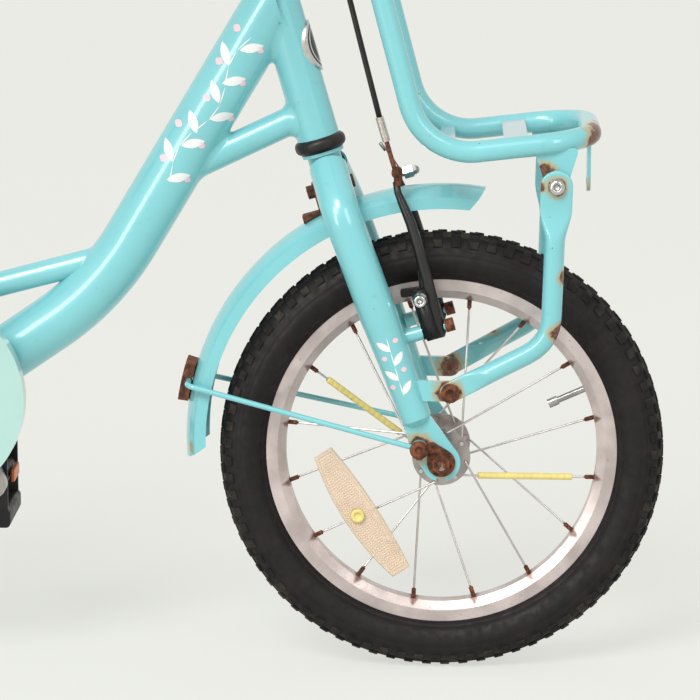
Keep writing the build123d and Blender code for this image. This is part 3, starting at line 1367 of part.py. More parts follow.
with BuildPart() as carrier_loop:
    rack_tube(RACK_RADIUS, RACK_RADIUS - RACK_WALL)
    ends = [rack_spot(LEG_TOP_AHEAD - LEG_FLAT_RADIUS), rack_spot(LEG_TOP_AHEAD + LEG_FLAT_RADIUS)]
    for side in (-1, 1):
        plate(
            side * RACK_Y + TAB_THICK / 2,
            TAB_THICK,
            [
                (leg_top.X, leg_top.Z, LEG_EYE),
                *[(spot.X, spot.Z - RACK_RADIUS, TAB_THICK) for spot in ends],
            ],
        )
        cross_hole(leg_top, side * RACK_Y + TAB_THICK, 2 * TAB_THICK, LEG_BOLT + SLIP)
    rack_tube(RACK_RADIUS - RACK_WALL, mode=Mode.SUBTRACT)
finish(carrier_loop, "carrier_loop")

with BuildPart() as carrier_slats:
    for ahead, wide in ((SLAT_BACK, SLAT_BACK_WIDTH), (SLAT_FRONT, SLAT_FRONT_WIDTH)):
        middle = rack_spot(ahead)
        with BuildSketch(Plane(origin=lateral(middle, RACK_Y), x_dir=rail, z_dir=(0, -1, 0))) as flat:
            Rectangle(wide, SLAT_THICK)
        extrude(flat.sketch, amount=2 * RACK_Y)
    rack_tube(RACK_RADIUS, mode=Mode.SUBTRACT)
finish(carrier_slats, "carrier_slats")

leg_corner = front(LEG_AHEAD, 0, LEG_CORNER_UP)
leg_low = leg_corner + (leg_bolt - leg_corner) * LEG_ROUND_SHARE
leg_high = leg_top - Vector(0, 0, LEG_FLAT_LENGTH)

with BuildPart() as carrier_legs:
    low_y = LEG_END_Y + LEG_FLAT / 2
    bent_tube(
        [lateral(leg_high, leg_y), lateral(leg_corner, (leg_y + low_y) / 2), lateral(leg_low, low_y)],
        LEG_BEND,
        LEG_RADIUS,
    )
    plate(
        leg_y + LEG_FLAT / 2,
        LEG_FLAT,
        [(leg_top.X, leg_top.Z, LEG_FLAT_RADIUS), (leg_high.X, leg_high.Z, LEG_FLAT_ROOT)],
    )
    plate(
        LEG_END_Y + LEG_FLAT,
        LEG_FLAT,
        [(leg_bolt.X, leg_bolt.Z, LEG_EYE), (leg_low.X, leg_low.Z, LEG_FLAT_ROOT)],
    )
    cross_hole(leg_top, 2 * leg_y, 2 * leg_y, LEG_BOLT + SLIP)
    cross_hole(leg_bolt, 2 * LEG_END_Y, 2 * LEG_END_Y, LEG_BOLT + SLIP)
    mirror(about=Plane.XZ)
finish(carrier_legs, "carrier_legs")

with BuildPart() as carrier_brackets:
    with BuildSketch(steer_plane(strap_along)) as strap:
        Circle(NUT_RADIUS)
        with Locations((RACK_TOP_AHEAD / 2, 0)):
            Rectangle(RACK_TOP_AHEAD + 2 * RACK_RADIUS, 2 * STEERER_BORE)
        Circle(STEERER_RADIUS + SLIP, mode=Mode.SUBTRACT)
        with Locations((-RACK_TOP_AHEAD / 2 - STEERER_RADIUS, 0)):
            Rectangle(RACK_TOP_AHEAD, 4 * STEERER_RADIUS, mode=Mode.SUBTRACT)
    extrude(strap.sketch, amount=STRAP_THICK)
    lamp_top = rack_front - Vector(0, 0, RACK_RADIUS)
    lamp_back = lamp_top - Vector(LAMP_THICK / 2, 0, LAMP_DROP / 2)
    with BuildSketch(Plane(origin=lamp_back, x_dir=(0, 1, 0), z_dir=(1, 0, 0))) as lamp_strip:
        with Locations((0, RACK_RADIUS / 2)):
            Rectangle(LAMP_WIDTH, LAMP_DROP + RACK_RADIUS)
        with Locations((0, -LAMP_DROP / 2)):
            Circle(LAMP_WIDTH / 2)
            Circle(LAMP_HOLE, mode=Mode.SUBTRACT)
    extrude(lamp_strip.sketch, amount=LAMP_THICK)
    rack_tube(RACK_RADIUS, mode=Mode.SUBTRACT)
finish(carrier_brackets, "carrier_brackets")

# Front brake


def steer_face(ahead):
    """Plane facing along the steering's ahead direction: local x is Y, local y runs along the axis."""
    return Plane(origin=steer(ahead, 0, 0), x_dir=(0, 1, 0), z_dir=STEER_AHEAD)


def arm_link(back, deep, discs):
    """One straight stretch of a brake arm, the hull of two round ends (Y, along, radius)."""
    with BuildSketch(steer_face(back)) as outline:
        for y, along, radius in discs:
            with Locations((y, along)):
                Circle(radius)
        make_hull()
    extrude(outline.sketch, amount=deep)


noodle_at = BRAKE_ARM_FACE - NOODLE_BACK
stirrup_along = BRAKE_ARM_TOP + STIRRUP_RISE
noodle_y = BRAKE_ARM_TOP_Y + NOODLE_BEND + BRAKE_ARM_RADIUS


def brake_arm(side):
    """Brake arm with its pivot bore, pad hole and top, on one side."""
    body_back = BRAKE_ARM_FACE - BRAKE_BODY_DEPTH
    arm_back = BRAKE_ARM_FACE - BRAKE_ARM_DEPTH
    with BuildPart() as arm:
        foot = (side * BRAKE_Y, BRAKE_ALONG, BRAKE_HUB)
        waist = (side * PAD_HOLE_Y, PAD_HOLE_ALONG, BRAKE_HUB)
        knee = (side * BRAKE_KNEE_Y, BRAKE_KNEE, BRAKE_ARM_RADIUS)
        top = (side * BRAKE_ARM_TOP_Y, BRAKE_ARM_TOP, BRAKE_ARM_RADIUS)
        arm_link(body_back, BRAKE_BODY_DEPTH, [foot, waist])
        arm_link(arm_back, BRAKE_ARM_DEPTH, [waist, knee])
        arm_link(arm_back, BRAKE_ARM_DEPTH, [knee, top])
        rod(
            steer(body_back - BRAKE_HUB, side * BRAKE_Y, BRAKE_ALONG),
            steer(BRAKE_ARM_FACE + BRAKE_HUB, side * BRAKE_Y, BRAKE_ALONG),
            BRAKE_PIN + RUN_FIT,
            mode=Mode.SUBTRACT,
        )
        rod(
            steer(PAD_HOLE_AHEAD, 0, PAD_HOLE_ALONG),
            steer(PAD_HOLE_AHEAD, side * 2 * BRAKE_Y, PAD_HOLE_ALONG),
            PAD_POST + SLIP,
            mode=Mode.SUBTRACT,
        )
    return arm


brake_arm_right = brake_arm(-1)
with brake_arm_right:
    stirrup_in = BRAKE_ARM_TOP_Y - 2 * BRAKE_ARM_RADIUS
    rod(
        steer(noodle_at, -BRAKE_ARM_TOP_Y, stirrup_along),
        steer(noodle_at, -stirrup_in, stirrup_along),
        BRAKE_ARM_RADIUS,
    )
    rod(
        steer(noodle_at, -BRAKE_ARM_TOP_Y, BRAKE_ARM_TOP),
        steer(noodle_at, -BRAKE_ARM_TOP_Y, stirrup_along),
        STIRRUP_NECK,
    )
    rod(
        steer(noodle_at, -2 * BRAKE_ARM_TOP_Y, stirrup_along),
        steer(noodle_at, 0, stirrup_along),
        NOODLE_RADIUS + SLIP,
        mode=Mode.SUBTRACT,
    )
finish(brake_arm_right, "brake_arm_right")

brake_arm_left = brake_arm(1)
with brake_arm_left:
    rod(
        steer(BRAKE_ARM_FACE, BRAKE_ARM_TOP_Y, BRAKE_ARM_TOP),
        steer(BRAKE_ARM_FACE + ANCHOR, BRAKE_ARM_TOP_Y, BRAKE_ARM_TOP),
        ANCHOR,
    )
finish(brake_arm_left, "brake_arm_left")

pad_spot = steer(PAD_AHEAD, 0, PAD_ALONG)
pad_turn = degrees(atan2(pad_spot.Z - FRONT_AXLE.Z, pad_spot.X - FRONT_AXLE.X))
pad_face = RIM_HALF_WIDTH + PAD_GAP


def brake_pad(side):
    """Rubber block along the rim with its post and nut."""
    post = steer(PAD_HOLE_AHEAD, 0, PAD_HOLE_ALONG)
    nut_y = PAD_HOLE_Y + BRAKE_HUB + CLEAR
    with BuildPart() as pad:
        start = lateral(pad_spot, side * pad_face)
        with BuildSketch(Plane(origin=start, x_dir=slope(pad_turn + 90), z_dir=(0, side, 0))) as block:
            RectangleRounded(PAD_LENGTH, PAD_HEIGHT, PAD_HEIGHT / 3)
        extrude(block.sketch, amount=PAD_THICK)
        nut_start = lateral(post, side * nut_y)
        rod(lateral(post, side * (pad_face + PAD_THICK / 2)), nut_start, PAD_POST)
        hex_nut(nut_start, nut_start + Vector(0, side * PAD_NUT, 0), 2 * PAD_POST, 0)
    return pad


brake_pad_right = brake_pad(-1)
finish(brake_pad_right, "brake_pad_right")
brake_pad_left = brake_pad(1)
finish(brake_pad_left, "brake_pad_left")

noodle_top = stirrup_along + NOODLE_RISE
with BuildPart() as brake_noodle:
    bent_tube(
        [
            steer(noodle_at, -noodle_y, noodle_top),
            steer(noodle_at, -noodle_y, stirrup_along),
            steer(noodle_at, -NOODLE_END_Y, stirrup_along),
        ],
        NOODLE_BEND,
        NOODLE_RADIUS,
    )
    rod(
        steer(noodle_at, -noodle_y, noodle_top - FERRULE),
        steer(noodle_at, -noodle_y, noodle_top),
        FERRULE_RADIUS,
    )
finish(brake_noodle, "brake_noodle")

# Bolts on the fork

with BuildPart() as fork_bolts:
    for side in (-1, 1):
        eye_out = front_dropout_y + STAY_EYE_THICK
        leg_out = LEG_END_Y + LEG_FLAT
        top_in = RACK_Y - TAB_THICK / 2
        top_out = leg_y + LEG_FLAT / 2
        for spot, start, end, radius in (
            (stay_bolt, FRONT_DROPOUT_GAP, eye_out, STAY_BOLT),
            (stay_bolt, eye_out, eye_out + STAY_BOLT, STAY_EYE + CLEAR),
            (leg_bolt, LEG_END_Y - DROPOUT_THICK, leg_out, LEG_BOLT),
            (leg_bolt, leg_out, leg_out + LEG_BOLT, LEG_HEAD),
            (leg_top, top_in - LEG_BOLT, top_out, LEG_BOLT),
            (leg_top, top_in - LEG_BOLT, top_in, LEG_NUT),
            (leg_top, top_out, top_out + LEG_BOLT, LEG_TOP_HEAD),
        ):
            rod(lateral(spot, side * start), lateral(spot, side * end), radius)
        pivot = steer(BRAKE_ARM_FACE + CLEAR, side * BRAKE_Y, BRAKE_ALONG)
        rod(pivot, pivot + STEER_AHEAD * BRAKE_HUB, PIVOT_HEAD)
finish(fork_bolts, "fork_bolts")

# Handlebar and brake lever

bar = steer(BAR_AHEAD, 0, BAR_ALONG)
bar_half = [bar] + [bar + Vector(*spot) for spot in BAR_POINTS]
bar_end = bar_half[-1]
bar_out = (bar_half[-1] - bar_half[-2]).normalized()

with BuildPart() as handlebar:
    for side in (-1, 1):
        route = [lateral(spot, side * spot.Y) for spot in bar_half]
        bent_tube(route, BAR_BEND, BAR_RADIUS, BAR_RADIUS - BAR_WALL)
finish(handlebar, "handlebar")

with BuildPart() as grips:
    for side in (-1, 1):
        end = lateral(bar_end, side * bar_end.Y)
        out = lateral(bar_out, side * bar_out.Y)
        inner = end - out * GRIP_LENGTH
        rod(inner, end, GRIP_RADIUS, BAR_RADIUS + RUN_FIT)
        rod(inner, inner + out * GRIP_LIP, GRIP_RADIUS + GRIP_LIP, BAR_RADIUS + RUN_FIT)
        rod(end, end + out * GRIP_LIP, GRIP_RADIUS)
finish(grips, "grips")

with BuildPart() as stem:
    rod(steer(0, 0, STEM_LOW), steer(0, 0, nut_top + STEM_NECK), STEERER_BORE)
    bent_tube(
        [steer(0, 0, nut_top + CLEAR), steer(0, 0, BAR_ALONG), bar - STEER_AHEAD * BAR_RADIUS],
        STEM_BEND,
        STEM_RADIUS,
    )
    rod(lateral(bar, -STEM_CLAMP_HALF), lateral(bar, STEM_CLAMP_HALF), BAR_RADIUS + STEM_CLAMP_WALL)
    past = 2 * STEM_CLAMP_HALF
    rod(lateral(bar, -past), lateral(bar, past), BAR_RADIUS + RUN_FIT, mode=Mode.SUBTRACT)
finish(stem, "stem")

lever_out = lateral(bar_out, -bar_out.Y)
lever_level = Vector(-lever_out.Y, lever_out.X, 0).normalized()
lever_drop = lever_level.cross(lever_out)
lever_ahead = lever_level * cos(radians(LEVER_TILT)) + lever_drop * sin(radians(LEVER_TILT))
lever_up = lever_ahead.cross(lever_out)
lever_root = lateral(bar_end, -bar_end.Y) - lever_out * (GRIP_LENGTH + LEVER_MOUNT + CLEAR)
lever_pivot = lever_root + lever_out * (LEVER_MOUNT / 2) + lever_ahead * LEVER_REACH


def lever_plate(low, thick, spots, mode=Mode.ADD):
    """Plate square to the lever's pivot, the hull of round ends (out, ahead, radius) from the pivot."""
    level = Plane(origin=lever_pivot + lever_up * low, x_dir=lever_out, z_dir=lever_up)
    with BuildSketch(level) as outline:
        for out, ahead, radius in spots:
            with Locations((out, -ahead if lever_flip else ahead)):
                Circle(radius)
        make_hull()
    extrude(outline.sketch, amount=thick, mode=mode)


lever_flip = lever_up.cross(lever_out).dot(lever_ahead) < 0

with BuildPart() as brake_lever_mount:
    rod(lever_root, lever_root + lever_out * LEVER_MOUNT, BAR_RADIUS + LEVER_WALL)
    cheek = LEVER_THICK / 2 + CLEAR
    for low in (cheek, -cheek - LEVER_WALL):
        lever_plate(low, LEVER_WALL, [(0, 0, LEVER_EYE), (0, -LEVER_REACH, LEVER_EYE)])
    rod(
        lever_pivot - lever_up * (cheek + LEVER_WALL),
        lever_pivot + lever_up * (cheek + LEVER_WALL),
        LEVER_PIN,
    )
    barrel = lever_root + lever_ahead * BARREL_AHEAD
    web = (LEVER_WEB_IN - LEVER_MOUNT / 2, BARREL_AHEAD - LEVER_REACH, LEVER_WALL)
    web_foot = (web[0], -LEVER_REACH, LEVER_WALL)
    lever_plate(-cheek - LEVER_WALL, 2 * cheek + 2 * LEVER_WALL, [web, web_foot])
    barrel_end = barrel - lever_out * BARREL_LENGTH
    rod(barrel + lever_out * LEVER_WALL, barrel_end, BARREL_RADIUS)
    rod(
        barrel - lever_out * HOUSING_RADIUS,
        barrel_end - lever_out * CLEAR,
        HOUSING_RADIUS + SLIP,
        mode=Mode.SUBTRACT,
    )
    rod(
        lever_root - lever_out * LEVER_MOUNT,
        lever_root + lever_out * 2 * LEVER_MOUNT,
        BAR_RADIUS + RUN_FIT,
        mode=Mode.SUBTRACT,
    )
finish(brake_lever_mount, "brake_lever_mount")

with BuildPart() as brake_lever:
    half = LEVER_THICK / 2
    knee = (LEVER_KNEE, LEVER_KNEE_AHEAD, LEVER_BLADE)
    lever_plate(-half, LEVER_THICK, [(0, 0, LEVER_HUB), knee])
    lever_plate(-half, LEVER_THICK, [knee, (LEVER_TIP, LEVER_TIP_AHEAD, LEVER_BLADE)])
    rod(
        lever_pivot - lever_up * LEVER_THICK,
        lever_pivot + lever_up * LEVER_THICK,
        LEVER_PIN + RUN_FIT,
        mode=Mode.SUBTRACT,
    )
finish(brake_lever, "brake_lever")

housing_start = barrel - lever_out * HOUSING_RADIUS
housing_route = [
    housing_start,
    housing_start - lever_out * BARREL_LENGTH * 2,
    *[bar + Vector(*spot) for spot in HOUSING_POINTS],
    *[steer(noodle_at + ahead, y - noodle_y, noodle_top + rise) for ahead, y, rise in HOUSING_RISE],
    steer(noodle_at, -noodle_y, noodle_top + CLEAR),
]
housing_radii = []
for before, corner, after in zip(housing_route, housing_route[1:], housing_route[2:]):
    turn = radians((corner - before).get_angle(after - corner))
    shorter = min((corner - before).length, (after - corner).length)
    housing_radii.append(HOUSING_BEND_SHARE * shorter / tan(turn / 2))
print("housing radii", [round(radius, 1) for radius in housing_radii])

with BuildPart() as brake_cable:
    housing_length = bent_tube(housing_route, housing_radii, HOUSING_RADIUS)
    full = pi * HOUSING_RADIUS**2 * housing_length
    print("housing volume share", round(brake_cable.part.volume / full, 4))
    wire_y = BRAKE_ARM_TOP_Y - BRAKE_ARM_RADIUS - CLEAR
    rod(
        steer(noodle_at, WIRE_RADIUS - NOODLE_END_Y, stirrup_along),
        steer(noodle_at, wire_y, BRAKE_ARM_TOP + BRAKE_ARM_RADIUS / 2),
        WIRE_RADIUS,
    )
finish(brake_cable, "brake_cable")

# Saddle

with BuildPart() as seat_post:
    rod(seat(SEAT_TUBE_LENGTH - POST_INSERT), seat(POST_TOP), POST_RADIUS, POST_RADIUS - TUBE_WALL)
finish(seat_post, "seat_post")

saddle_clamp = seat(POST_TOP - CLAMP_HEIGHT / 2)
rail_z = saddle_clamp.Z + SADDLE_RAIL_UP
hub = Vector(saddle_clamp.X, 0, rail_z)
saddle_low = rail_z + RAIL_RISE - RAIL_RADIUS
saddle_back = saddle_clamp.X - RAIL_BACK - SADDLE_OVERHANG

with BuildPart() as saddle_rails:
    rod(seat(POST_TOP - CLAMP_HEIGHT), seat(POST_TOP), POST_RADIUS + CLAMP_WALL, POST_RADIUS + RUN_FIT)
    hub_half = SADDLE_RAIL_Y + 2 * RAIL_RADIUS
    rod(lateral(hub, -hub_half), lateral(hub, hub_half), SADDLE_HUB)
    for side in (-1, 1):
        route = [
            hub + Vector(-RAIL_BACK, side * SADDLE_RAIL_Y, RAIL_RISE),
            hub + Vector(-RAIL_BACK / 2, side * SADDLE_RAIL_Y, 0),
            hub + Vector(RAIL_AHEAD / 2, side * SADDLE_RAIL_Y, 0),
            hub + Vector(RAIL_AHEAD, side * RAIL_NOSE_Y, RAIL_RISE),
        ]
        bent_tube(route, 6 * RAIL_RADIUS, RAIL_RADIUS)
    split(bisect_by=Plane(origin=(0, 0, saddle_low), z_dir=(0, 0, 1)), keep=Keep.BOTTOM)
    bore_low = seat(POST_TOP - 2 * CLAMP_HEIGHT)
    rod(bore_low, seat(POST_TOP + CLEAR), POST_RADIUS + RUN_FIT, mode=Mode.SUBTRACT)
finish(saddle_rails, "saddle_rails")


def saddle_section(share, width, height):
    """Cross section of the cushion: flat base, drawn-in sides and a crowned top."""
    x = saddle_back + share * SADDLE_LENGTH
    base = saddle_low
    half = width / 2
    foot = SADDLE_DRAW * half
    tuck = base + SADDLE_TUCK_UP * height
    waist = base + SADDLE_SIDE * height
    with BuildSketch(Plane(origin=(x, 0, 0), x_dir=(0, 1, 0), z_dir=(1, 0, 0))) as outline:
        with BuildLine():
            Line((-foot, base), (foot, base))
            ThreePointArc((foot, base), (SADDLE_TUCK * half, tuck), (half, waist))
            ThreePointArc((half, waist), (0, base + height), (-half, waist))
            ThreePointArc((-half, waist), (-SADDLE_TUCK * half, tuck), (-foot, base))
        make_face()
    return outline.sketch.face()


with BuildPart() as saddle:
    loft([saddle_section(*numbers) for numbers in SADDLE_SECTIONS])
finish(saddle, "saddle")

# Stand

leg_in = dropout_y + CLEAR + STAND_PLATE
leg_start = REAR_AXLE + STAND_DOWN * STAND_LEG_START
leg_foot = REAR_AXLE + STAND_DOWN * STAND_LEG
with BuildPart() as stand_legs:
    side_y = leg_in + STAND_RADIUS - STAND_WELD
    bent_tube(
        [
            lateral(leg_start, -side_y),
            lateral(leg_foot, -STAND_FOOT_Y),
            lateral(leg_foot, STAND_FOOT_Y),
            lateral(leg_start, side_y),
        ],
        STAND_BEND,
        STAND_RADIUS,
    )
    for top in (leg_in, -dropout_y - CLEAR):
        spot = REAR_AXLE + STAND_DOWN * (STAND_LEG_START + STAND_EYE_RADIUS)
        eyes = [(point.X, point.Z, STAND_EYE_RADIUS) for point in (REAR_AXLE, spot)]
        plate(top, STAND_PLATE, eyes)
    cross_hole(REAR_AXLE, 2 * leg_in, 4 * leg_in, REAR_AXLE_RADIUS + RUN_FIT)
finish(stand_legs, "stand_legs")

with BuildPart() as stand_feet:
    for side in (-1, 1):
        rod(
            lateral(leg_foot, side * STAND_PAD_Y),
            lateral(leg_foot, side * (STAND_PAD_Y + STAND_PAD)),
            STAND_FOOT_RADIUS,
            STAND_RADIUS + RUN_FIT,
        )
finish(stand_feet, "stand_feet")

# Reflectors on the front wheel's spokes


def straw(index):
    """Tube that sits round one spoke of the front wheel."""
    hub_end, rim_end, _ = spoke_ends(index, FRONT_FLANGE_Y, front_hole_radius)
    run = rim_end - hub_end
    start = FRONT_AXLE + hub_end + run * STRAW_START
    rod(start, start + run * STRAW_SHARE, STRAW_RADIUS, SPOKE_RADIUS + RUN_FIT)


with BuildPart() as spoke_reflectors:
    for index in STRAW_SPOKES:
        straw(index)
    centre = FRONT_AXLE + slope(LENS_TURN) * LENS_PLACE + Vector(0, -LENS_Y, 0)
    half = LENS_LENGTH / 2
    end = LENS_END / 2
    with BuildSketch(Plane(origin=centre, x_dir=slope(LENS_TILT), z_dir=(0, -1, 0))) as lens:
        with BuildLine():
            ThreePointArc((-half, -end), (0, -LENS_BULGE_OUT), (half, -end))
            Line((half, -end), (half, end))
            ThreePointArc((half, end), (0, LENS_BULGE_IN), (-half, end))
            Line((-half, end), (-half, -end))
        make_face()
    extrude(lens.sketch, amount=LENS_THICK)
    boss = centre + slope(LENS_TILT - 90) * LENS_BOSS_OUT - Vector(0, LENS_THICK, 0)
    rod(boss, boss - Vector(0, LENS_BOSS_RISE, 0), LENS_BOSS)
finish(spoke_reflectors, "spoke_reflectors")
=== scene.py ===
import json
import logging
import math
from dataclasses import dataclass
from enum import Enum
from typing import Sequence

import bmesh
import bpy
from mathutils import Matrix, Vector
from mathutils.bvhtree import BVHTree

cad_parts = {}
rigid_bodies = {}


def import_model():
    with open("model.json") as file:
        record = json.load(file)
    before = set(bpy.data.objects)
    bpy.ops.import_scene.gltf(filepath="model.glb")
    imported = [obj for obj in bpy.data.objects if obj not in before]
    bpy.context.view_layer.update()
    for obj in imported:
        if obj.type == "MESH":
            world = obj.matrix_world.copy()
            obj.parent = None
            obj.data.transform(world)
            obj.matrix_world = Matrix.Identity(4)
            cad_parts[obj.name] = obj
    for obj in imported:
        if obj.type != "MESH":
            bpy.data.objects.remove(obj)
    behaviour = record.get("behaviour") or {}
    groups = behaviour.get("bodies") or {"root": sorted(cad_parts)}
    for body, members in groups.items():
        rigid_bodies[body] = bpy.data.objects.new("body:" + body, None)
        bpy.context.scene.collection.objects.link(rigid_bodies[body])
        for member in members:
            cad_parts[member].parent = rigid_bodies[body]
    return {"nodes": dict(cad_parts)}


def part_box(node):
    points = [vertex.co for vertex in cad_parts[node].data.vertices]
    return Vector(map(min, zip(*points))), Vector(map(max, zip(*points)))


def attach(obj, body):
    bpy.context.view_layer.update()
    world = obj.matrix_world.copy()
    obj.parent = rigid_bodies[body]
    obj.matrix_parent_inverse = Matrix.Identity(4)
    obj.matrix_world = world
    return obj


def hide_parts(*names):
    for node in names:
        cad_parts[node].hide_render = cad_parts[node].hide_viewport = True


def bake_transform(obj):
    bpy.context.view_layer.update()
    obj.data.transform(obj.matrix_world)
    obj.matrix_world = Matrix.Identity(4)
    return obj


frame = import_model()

LOG = logging.getLogger("bicycle")
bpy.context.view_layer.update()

Socket = bpy.types.NodeSocket
Point = tuple[float, float, float]
Colour = tuple[int, int, int]
Ring = Sequence[bmesh.types.BMVert]

# The bicycle's own reference points, in metres
FRONT_AXLE = Vector((0.398341, 0.0, 0.200))
REAR_AXLE = Vector((-0.355341, 0.0, 0.215))
STEER_FOOT = Vector((0.37281, 0.0, 0.192534))
STEER_LEAN = math.radians(16.3)
STEER_UP = Vector((-math.sin(STEER_LEAN), 0.0, math.cos(STEER_LEAN)))
STEER_AHEAD = Vector((math.cos(STEER_LEAN), 0.0, math.sin(STEER_LEAN)))


def steer(ahead: float, y: float, along: float) -> Vector:
    """Gives a point by its place about the steering axis.

    Args:
        ahead: Millimetres in front of the axis.
        y: Millimetres to the rider's left.
        along: Millimetres up the axis.

    Returns:
        The point in metres.
    """
    return STEER_FOOT + (STEER_AHEAD * ahead + STEER_UP * along + Vector((0, y, 0))) * 0.001


def linear(colour: Colour) -> tuple[float, float, float, float]:
    """Turns a display colour of 0 to 255 into the shader's linear one."""
    parts = [channel / 255 for channel in colour]
    return (*[c / 12.92 if c <= 0.04045 else ((c + 0.055) / 1.055) ** 2.4 for c in parts], 1.0)


def shade(colour: Sequence[float], factor: float, lift: float = 0.0) -> tuple[float, float, float, float]:
    """Makes a linear colour darker or paler."""
    return (*[min(1.0, channel * factor + lift) for channel in colour[:3]], 1.0)


class Shader:
    """Small builder for one material's nodes on Object coordinates."""

    def __init__(self, name: str) -> None:
        """Starts a material with its principled shader."""
        self.material = bpy.data.materials.new(name)
        self.material.use_nodes = True
        tree = self.material.node_tree
        self.nodes, self.links = tree.nodes, tree.links
        self.bsdf = self.nodes["Principled BSDF"]
        self.coords = self.nodes.new("ShaderNodeTexCoord").outputs["Object"]

    def put(self, socket: Socket, value: object) -> None:
        """Links a socket or sets a plain value on an input."""
        if isinstance(value, bpy.types.NodeSocket):
            self.links.new(value, socket)
        elif value is not None:
            socket.default_value = value

    def noise(self, scale: float, detail: float = 4.0) -> Socket:
        """Gives a fractal noise value of one scale per metre."""
        node = self.nodes.new("ShaderNodeTexNoise")
        node.inputs["Scale"].default_value = scale
        node.inputs["Detail"].default_value = detail
        self.links.new(self.coords, node.inputs["Vector"])
        return node.outputs["Fac"]

    def cells(self, scale: float, random: float = 1.0) -> Socket:
        """Gives the distance inside cells of one scale per metre, from a square grid to random ones."""
        node = self.nodes.new("ShaderNodeTexVoronoi")
        node.inputs["Scale"].default_value = scale
        node.inputs["Randomness"].default_value = random
        self.links.new(self.coords, node.inputs["Vector"])
        return node.outputs["Distance"]

    def step(self, value: Socket, low: float, high: float, start: float = 0.0, end: float = 1.0) -> Socket:
        """Maps a value smoothly from one range to another, clamped."""
        node = self.nodes.new("ShaderNodeMapRange")
        node.interpolation_type = "SMOOTHSTEP"
        self.put(node.inputs["Value"], value)
        for name, number in (("From Min", low), ("From Max", high), ("To Min", start), ("To Max", end)):
            node.inputs[name].default_value = number
        return node.outputs["Result"]

    def maths(self, operation: str, first: object, second: object = None) -> Socket:
        """Joins two values by one arithmetic operation."""
        node = self.nodes.new("ShaderNodeMath")
        node.operation = operation
        self.put(node.inputs[0], first)
        self.put(node.inputs[1], second)
        return node.outputs[0]

    def mix(self, factor: Socket, first: object, second: object) -> Socket:
        """Mixes two colours by a factor."""
        node = self.nodes.new("ShaderNodeMix")
        node.data_type = "RGBA"
        colours = [socket for socket in node.inputs if socket.type == "RGBA"]
        self.put(node.inputs["Factor"], factor)
        self.put(colours[0], first)
        self.put(colours[1], second)
        return [socket for socket in node.outputs if socket.type == "RGBA"][0]

    def distance(self, point: Sequence[float]) -> Socket:
        """Gives the distance of the surface from one point."""
        node = self.nodes.new("ShaderNodeVectorMath")
        node.operation = "DISTANCE"
        self.links.new(self.coords, node.inputs[0])
        node.inputs[1].default_value = tuple(point)
        return node.outputs["Value"]

    def along(self, direction: Sequence[float], origin: Sequence[float] = (0, 0, 0)) -> Socket:
        """Gives the distance along a direction from a point."""
        shift = self.nodes.new("ShaderNodeVectorMath")
        shift.operation = "SUBTRACT"
        self.links.new(self.coords, shift.inputs[0])
        shift.inputs[1].default_value = tuple(origin)
        dot = self.nodes.new("ShaderNodeVectorMath")
        dot.operation = "DOT_PRODUCT"
        self.links.new(shift.outputs[0], dot.inputs[0])
        dot.inputs[1].default_value = tuple(direction)
        return dot.outputs["Value"]

    def turn(self, centre: Sequence[float]) -> Socket:
        """Gives the angle about a wheel's axle, in radians."""
        return self.maths("ARCTAN2", self.along((0, 0, 1), centre), self.along((1, 0, 0), centre))

    def bump(self, height: Socket, strength: float, distance: float) -> None:
        """Adds one bump on top of those already there."""
        node = self.nodes.new("ShaderNodeBump")
        node.inputs["Strength"].default_value = strength
        node.inputs["Distance"].default_value = distance
        self.links.new(height, node.inputs["Height"])
        normal = self.bsdf.inputs["Normal"]
        if normal.is_linked:
            self.links.new(normal.links[0].from_socket, node.inputs["Normal"])
        self.links.new(node.outputs["Normal"], normal)

    def finish(self, **sockets: object) -> bpy.types.Material:
        """Sets the shader's inputs by name, with underscores for spaces."""
        for name, value in sockets.items():
            self.put(self.bsdf.inputs[name.replace("_", " ")], value)
        return self.material


RUST_DARK: Colour = (62, 34, 22)
RUST_LIGHT: Colour = (132, 74, 40)
RUST_STAIN: Colour = (186, 150, 84)


def rust_colour(shader: Shader, scale: float = 420.0) -> Socket:
    """Gives a mottled rust colour."""
    mottle = shader.step(shader.noise(scale, 6), 0.38, 0.66)
    return shader.mix(mottle, linear(RUST_DARK), linear(RUST_LIGHT))


